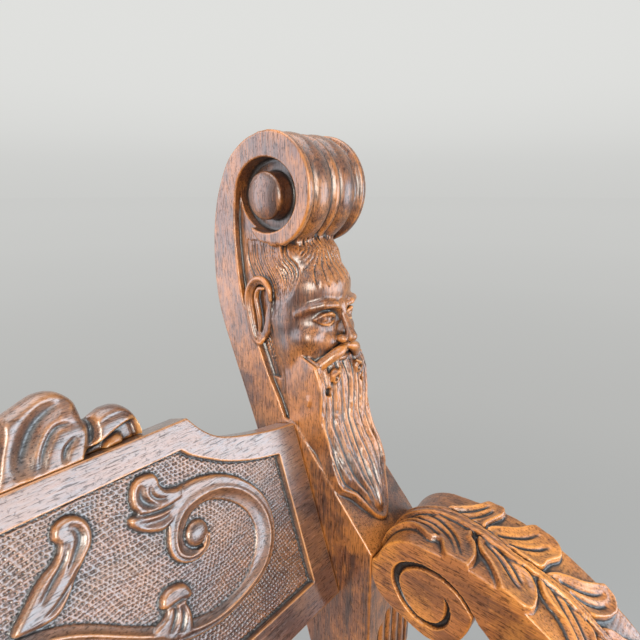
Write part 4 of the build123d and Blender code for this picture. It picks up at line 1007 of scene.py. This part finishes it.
def lower_posts():
    """Each back post from its carved part down, in the row frame."""
    cut = SCROLL_Z + HEAD_CUT
    face = SCROLL_Y + POST_FRONT
    for side, setback in SETBACK.items():
        node = f"back_post_{SIDE_NAME[side]}"
        clay = cad_clay(node, CELL["lower post"])
        high = int((cut + 4 - clay.low[2]) / clay.step)
        clay.field = np.ascontiguousarray(clay.field[:, :, :high])
        rub_edges(clay)
        _, x, y, z = clay.window()
        middle = rounded_path([(way * side * (SIDE_X + MID), height) for way, height in BEND], BEND_R)
        slat = SCROLL_Y - setback
        front = rounded_path([(face, 700), (face, 520), (slat, 430), (slat, 40)], FRONT_BEND_R)
        facing = 1 - smooth(y - np.interp(z, front[::-1, 1], front[::-1, 0]), 8, 14)
        across = line_distance(middle, x, z)[0]
        clay.field += flute_depth(across, z - SCROLL_Z) * facing * smooth(z, 110, 124)
        clay.field += uneven(x, y, z) * smooth(cut - z, 4, 40)
        clay.field = np.maximum(clay.field, z - (cut + SEAM_LAP))
        points, quads, marks = clay.surface(fine=1.6, broad=3.5)
        for layer in marks:
            layer[points[:, 2] > cut - 1.5] = 0
        piece = add_piece(f"post_{SIDE_NAME[side]}_lower", (points, quads, marks), node, "carved_walnut", "z")
        piece.data.set_sharp_from_angle(angle=SHARP)


# ---------------------------------------------------------------- materials
MATERIALS = {}
ORANGE = (0.42, 0.160, 0.034)
# gold for edges, partly worn wood and partly a painted highlight
GOLD_WEAR_AND_HIGHLIGHT = (0.62, 0.33, 0.13)
AMBER = (0.49, 0.172, 0.030)
WARM = (0.150, 0.048, 0.016)
BROWN = (0.108, 0.036, 0.017)
UMBER = (0.045, 0.017, 0.010)
# near black for the painted shade in hollows and creases
HOLLOW_SHADE = (0.008, 0.004, 0.003)


class Nodes:
    """Short ways to build the nodes of a material or a world."""

    def __init__(self, owner):
        owner.use_nodes = True
        self.owner = owner
        self.tree = owner.node_tree
        self.shader = self.tree.nodes.get("Principled BSDF")

    def add(self, kind, **values):
        node = self.tree.nodes.new(kind)
        for key, value in values.items():
            setattr(node, key, value)
        return node

    def feed(self, socket, value):
        if isinstance(value, (int, float)):
            socket.default_value = value
        elif isinstance(value, tuple):
            socket.default_value = (*value, 1)
        else:
            self.tree.links.new(value, socket)

    def feed_all(self, sockets, values):
        for socket, value in zip(sockets, values):
            self.feed(socket, value)

    def maths(self, operation, *values):
        node = self.add("ShaderNodeMath", operation=operation)
        self.feed_all(node.inputs, values)
        return node.outputs[0]

    def total(self, *parts, offset=0.0):
        """Sum of values times their factors."""
        for value, factor in parts:
            offset = self.maths("MULTIPLY_ADD", value, factor, offset)
        return offset

    def span(self, value, low, high, start=0.0, end=1.0, kind="SMOOTHSTEP"):
        """Maps low..high to start..end."""
        node = self.add("ShaderNodeMapRange", interpolation_type=kind)
        self.feed_all(node.inputs, (value, low, high, start, end))
        return node.outputs[0]

    def mix(self, factor, a, b):
        node = self.add("ShaderNodeMix", data_type="RGBA")
        self.feed_all((node.inputs[0], node.inputs[6], node.inputs[7]), (factor, a, b))
        return node.outputs[2]

    def mix_shaders(self, factor, a, b, output):
        node = self.add("ShaderNodeMixShader")
        self.feed_all(node.inputs, (factor, a.outputs[0], b.outputs[0]))
        self.feed(self.tree.nodes[output].inputs["Surface"], node.outputs[0])

    def place(self, scale=None):
        out = self.add("ShaderNodeTexCoord").outputs["Object"]
        if scale is None:
            return out
        node = self.add("ShaderNodeMapping")
        node.inputs["Scale"].default_value = scale
        self.feed(node.inputs["Vector"], out)
        return node.outputs[0]

    def noise(self, vector, size, detail=3, distortion=0, rough=0.5):
        node = self.add("ShaderNodeTexNoise")
        labels = ("Vector", "Scale", "Detail", "Distortion", "Roughness")
        self.feed_all([node.inputs[label] for label in labels], (vector, size, detail, distortion, rough))
        return node.outputs["Fac"]

    def mark(self, name):
        return self.add("ShaderNodeAttribute", attribute_name=name).outputs["Fac"]

    def bump(self, height, strength, distance):
        node = self.add("ShaderNodeBump")
        labels = ("Height", "Strength", "Distance")
        self.feed_all([node.inputs[label] for label in labels], (height, strength, distance))
        self.feed(self.shader.inputs["Normal"], node.outputs[0])


def wood(name, axis, brown=BROWN, orange=ORANGE, umber=UMBER, patch=0.28, gloss=1.32, shade_shift=0.0, marks=True):
    """Waxed walnut: painted shade darkens its hollows and creases, and its edges turn orange and gold, partly
    worn and partly a painted highlight.
    """
    n = Nodes(bpy.data.materials.new(name))

    def grain(slow, fast, **kind):
        return n.noise(n.place([slow if k == axis else fast for k in range(3)]), 1, **kind)

    rings = grain(9, 150, distortion=0.8)
    fibre = grain(70, 1150, distortion=0.3, rough=0.6)
    pores = grain(150, 1500, detail=2)
    cloud = n.noise(n.place(), 17, distortion=0.4)
    rub = n.noise(n.place(), 95, detail=4, distortion=0.2, rough=0.6)
    speck = n.noise(n.place(), 520, rough=0.65)

    tone = n.total((rings, 0.8), (fibre, 0.5), offset=-0.15)
    colour = n.mix(n.span(tone, 0.36, 0.66), umber, brown)
    warm = n.total((cloud, 0.75), (rub, 0.45), (fibre, 0.30))
    colour = n.mix(n.span(warm, 0.66, 0.92, 0.0, patch), colour, orange)
    worn = n.maths("MULTIPLY", n.span(pores, 0.34, 0.46, 0.30, 1.0), n.span(speck, 0.34, 0.43, 0.5, 1.0))
    colour = n.mix(worn, tuple(0.4 * c for c in UMBER), colour)
    rough = n.total((fibre, 0.34), (rub, 0.20), offset=0.10)
    if marks:
        # edges turn orange and gold, partly worn wood and partly a painted highlight
        wear_and_highlight = n.mark("edge_wear_highlight")
        edge = n.total((wear_and_highlight, 1.0), (rub, 0.16), (fibre, 0.10), offset=-0.13)
        breakup_of_wear_and_highlight = n.span(cloud, 0.38, 0.62, 0.35, 0.85)
        colour = n.mix(n.maths("MULTIPLY", n.span(edge, 0.05, 0.26), breakup_of_wear_and_highlight), colour, orange)
        colour = n.mix(n.maths("MULTIPLY", n.span(edge, 0.22, 0.50, 0.0, 0.8), breakup_of_wear_and_highlight), colour, GOLD_WEAR_AND_HIGHLIGHT)
        # painted shade: hollows and creases, where shade falls, go near black
        sunk = n.total((n.mark("hollow"), 0.7), (wear_and_highlight, 1.0), (speck, 0.10), offset=-0.05)
        painted_shade = n.span(sunk, -0.34 + shade_shift, -0.05 + shade_shift, 1.0, 0.0)
        colour = n.mix(painted_shade, colour, HOLLOW_SHADE)
        rough = n.total((painted_shade, 0.22), offset=rough)
    n.feed(n.shader.inputs["Base Color"], colour)
    n.feed(n.shader.inputs["Roughness"], rough)
    n.feed(n.shader.inputs["Specular IOR Level"], n.total((worn, 0.62 * gloss), offset=0.18 * gloss))
    n.feed(n.shader.inputs["Coat Weight"], n.total((worn, 0.70 * gloss), offset=0.10))
    n.shader.inputs["Coat Roughness"].default_value = 0.2
    n.feed(n.shader.inputs["Coat Roughness"], n.total((fibre, 0.30), (speck, 0.12), offset=0.02))
    n.bump(n.total((fibre, 0.6), (pores, 0.5), (speck, 0.45)), 0.55, 0.00028)
    return n.owner


def metal(name, colour, dark, rough):
    """Old metal, dull in patches."""
    n = Nodes(bpy.data.materials.new(name))
    cloud = n.noise(n.place(), 90, detail=4)
    speck = n.noise(n.place(), 700, rough=0.6)
    n.feed(n.shader.inputs["Base Color"], n.mix(n.span(cloud, 0.40, 0.66), dark, colour))
    n.feed(n.shader.inputs["Roughness"], n.total((cloud, 0.25), (speck, 0.1), offset=rough - 0.12))
    n.shader.inputs["Metallic"].default_value = 0.9
    n.bump(n.total((speck, 1.0), (cloud, 0.6)), 0.5, 0.0002)
    return n.owner


def make_materials():
    """The last letter of a wood's name is the axis that its grain follows."""
    dull = {"brown": WARM, "orange": AMBER, "patch": 0.6, "gloss": 0.85}
    for axis, key in enumerate("xyz"):
        MATERIALS[f"walnut_{key}"] = wood(f"walnut {key}", axis, **dull)
    MATERIALS["plain_walnut_y"] = wood("plain walnut y", 1, **dull, marks=False)
    # the panel is the glossiest part, the arms the palest and most golden
    MATERIALS["carved_walnut_x"] = wood("carved walnut x", 0)
    # the arms' painted shade reaches further out of their hollows
    MATERIALS["carved_walnut_y"] = wood(
        "carved walnut y", 1, brown=(0.36, 0.122, 0.027), orange=(0.62, 0.235, 0.040),
        umber=(0.17, 0.055, 0.016), patch=0.8, gloss=0.65, shade_shift=0.08)
    MATERIALS["carved_walnut_z"] = wood("carved walnut z", 2, **{**dull, "patch": 0.65})
    MATERIALS["iron"] = metal("dark iron", (0.16, 0.15, 0.14), (0.05, 0.035, 0.03), 0.42)
    MATERIALS["brass"] = metal("old brass", (0.55, 0.38, 0.16), (0.20, 0.12, 0.05), 0.36)


def dress_cad():
    """Materials of the small CAD pieces that stay as they are."""
    for name, node in frame["nodes"].items():
        material = "plain_walnut_y"
        if name.startswith("hinge"):
            material = "brass"
        elif name.startswith(("pivot_washers", "pivot_rod", "seat_rod")):
            material = "iron"
        node.data.materials.clear()
        node.data.materials.append(MATERIALS[material])


# ---------------------------------------------------------------- stage, light and camera
CAMERA = (0.022534, 0.003258, 0.915490)
CAMERA_AIM = (0.752590, 0.631694, 0.647001)
LENS = 26.4375
FLOOR_R = 60
# brightness of the plain backdrop by height over the horizon, and of the floor by distance
SKY = [(-0.02, 0.60), (0.05, 0.635), (0.10, 0.69), (0.17, 0.735), (0.28, 0.75), (0.5, 0.75)]
FLOOR = [(0.0, 0.455), (1.5, 0.465), (3.0, 0.505), (5.0, 0.55), (9.0, 0.585), (20.0, 0.60)]
TINT = (0.995, 1.0, 0.975)
# place, what it points at, width and height in metres, brightness and colour
LAMPS = {
    "window": ((-0.90, 1.45, 1.05), (0.22, 0.2, 0.85), (1.5, 1.7), 3.0, (0.92, 0.91, 1.0)),
    "front": ((0.85, -1.66, 0.72), (0.15, 0.2, 0.75), (2.2, 1.2), 6.2, (0.74, 0.87, 1.0)),
    "above": ((0.0, 0.35, 2.3), (0.2, 0.2, 0.85), (1.4, 1.4), 3.0, (0.92, 0.96, 1.0)),
    "left": ((-1.25, -0.85, 1.15), (0.2, 0.1, 0.70), (0.9, 0.9), 17.0, (1.0, 0.94, 0.84)),
}


def grey_ramp(n, value, stops):
    """Grey that follows a list of (place, brightness)."""
    low, high = stops[0][0], stops[-1][0]
    node = n.add("ShaderNodeValToRGB")
    node.color_ramp.interpolation = "B_SPLINE"
    elements = node.color_ramp.elements
    while len(elements) < len(stops):
        elements.new(0.5)
    for element, (place, level) in zip(elements, stops):
        element.position = (place - low) / (high - low)
        element.color = (*[level * c for c in TINT], 1)
    n.feed(node.inputs[0], n.span(value, low, high, kind="LINEAR"))
    return node.outputs[0]


def seen_directly(n):
    """1 where the camera or a reflection looks at the backdrop, 0 where it only gives light."""
    path = n.add("ShaderNodeLightPath")
    mirrored = n.maths("MAXIMUM", path.outputs["Is Glossy Ray"], path.outputs["Is Transmission Ray"])
    return n.maths("MAXIMUM", path.outputs["Is Camera Ray"], mirrored)


def floor():
    """Wide pale disc that fades into the backdrop."""
    mesh = bpy.data.meshes.new("floor")
    rim = round_line((0, 0), FLOOR_R, 0, 356.25, 96)
    mesh.from_pydata([(x, y, 0) for x, y in rim], [], [list(range(96))])
    disc = bpy.data.objects.new("floor", mesh)
    bpy.context.scene.collection.objects.link(disc)
    n = Nodes(bpy.data.materials.new("pale floor"))
    n.feed(n.shader.inputs["Base Color"], (0.30, 0.30, 0.29))
    n.shader.inputs["Roughness"].default_value = 0.75
    length = n.add("ShaderNodeVectorMath", operation="LENGTH")
    n.feed(length.inputs[0], n.place())
    distance = length.outputs["Value"]
    glow = n.add("ShaderNodeEmission")
    n.feed(glow.inputs["Color"], grey_ramp(n, distance, FLOOR))
    # close to the chair the floor keeps more of its own shading, and so the shadow
    far = n.maths("MULTIPLY", seen_directly(n), n.span(distance, 0.5, 2.2, 0.55, 1.0))
    n.mix_shaders(far, n.shader, glow, "Material Output")
    mesh.materials.append(n.owner)


def studio():
    """Even light from all around, and the backdrop that the camera sees."""
    world = bpy.data.worlds.new("studio")
    bpy.context.scene.world = world
    n = Nodes(world)
    light = n.tree.nodes["Background"]
    n.feed_all((light.inputs["Color"], light.inputs["Strength"]), ((0.86, 0.93, 1.0), 0.46))
    height = n.add("ShaderNodeSeparateXYZ")
    n.feed(height.inputs[0], n.add("ShaderNodeTexCoord").outputs["Generated"])
    sky = n.add("ShaderNodeBackground")
    n.feed(sky.inputs["Color"], grey_ramp(n, height.outputs["Z"], SKY))
    n.mix_shaders(seen_directly(n), light, sky, "World Output")


def aimed(name, data, place, target):
    """A camera or a lamp that looks at its target."""
    obj = bpy.data.objects.new(name, data)
    bpy.context.scene.collection.objects.link(obj)
    turn = (Vector(target) - Vector(place)).to_track_quat("-Z", "Y")
    obj.matrix_world = Matrix.Translation(place) @ turn.to_matrix().to_4x4()
    return obj


def lamps_and_camera():
    """Soft lamps, and the photograph's camera."""
    for name, (place, target, size, brightness, colour) in LAMPS.items():
        lamp = bpy.data.lights.new(name, "AREA")
        lamp.shape = "RECTANGLE"
        lamp.size, lamp.size_y = size
        lamp.energy = brightness * math.pi * size[0] * size[1]
        lamp.color = colour
        aimed(name, lamp, place, target)
    camera = bpy.data.cameras.new("camera")
    camera.sensor_fit = "HORIZONTAL"
    camera.sensor_width = 36.0
    camera.lens = LENS
    camera.clip_start = 0.01
    camera.clip_end = 300
    bpy.context.scene.camera = aimed("camera", camera, CAMERA, CAMERA_AIM)


bpy.context.scene.view_settings.view_transform = "Standard"
make_materials()
floor()
studio()
lamps_and_camera()
upper_posts()
carved_panel()
carved_crest()
carved_arms()
lower_posts()
worn_pieces()
dress_cad()
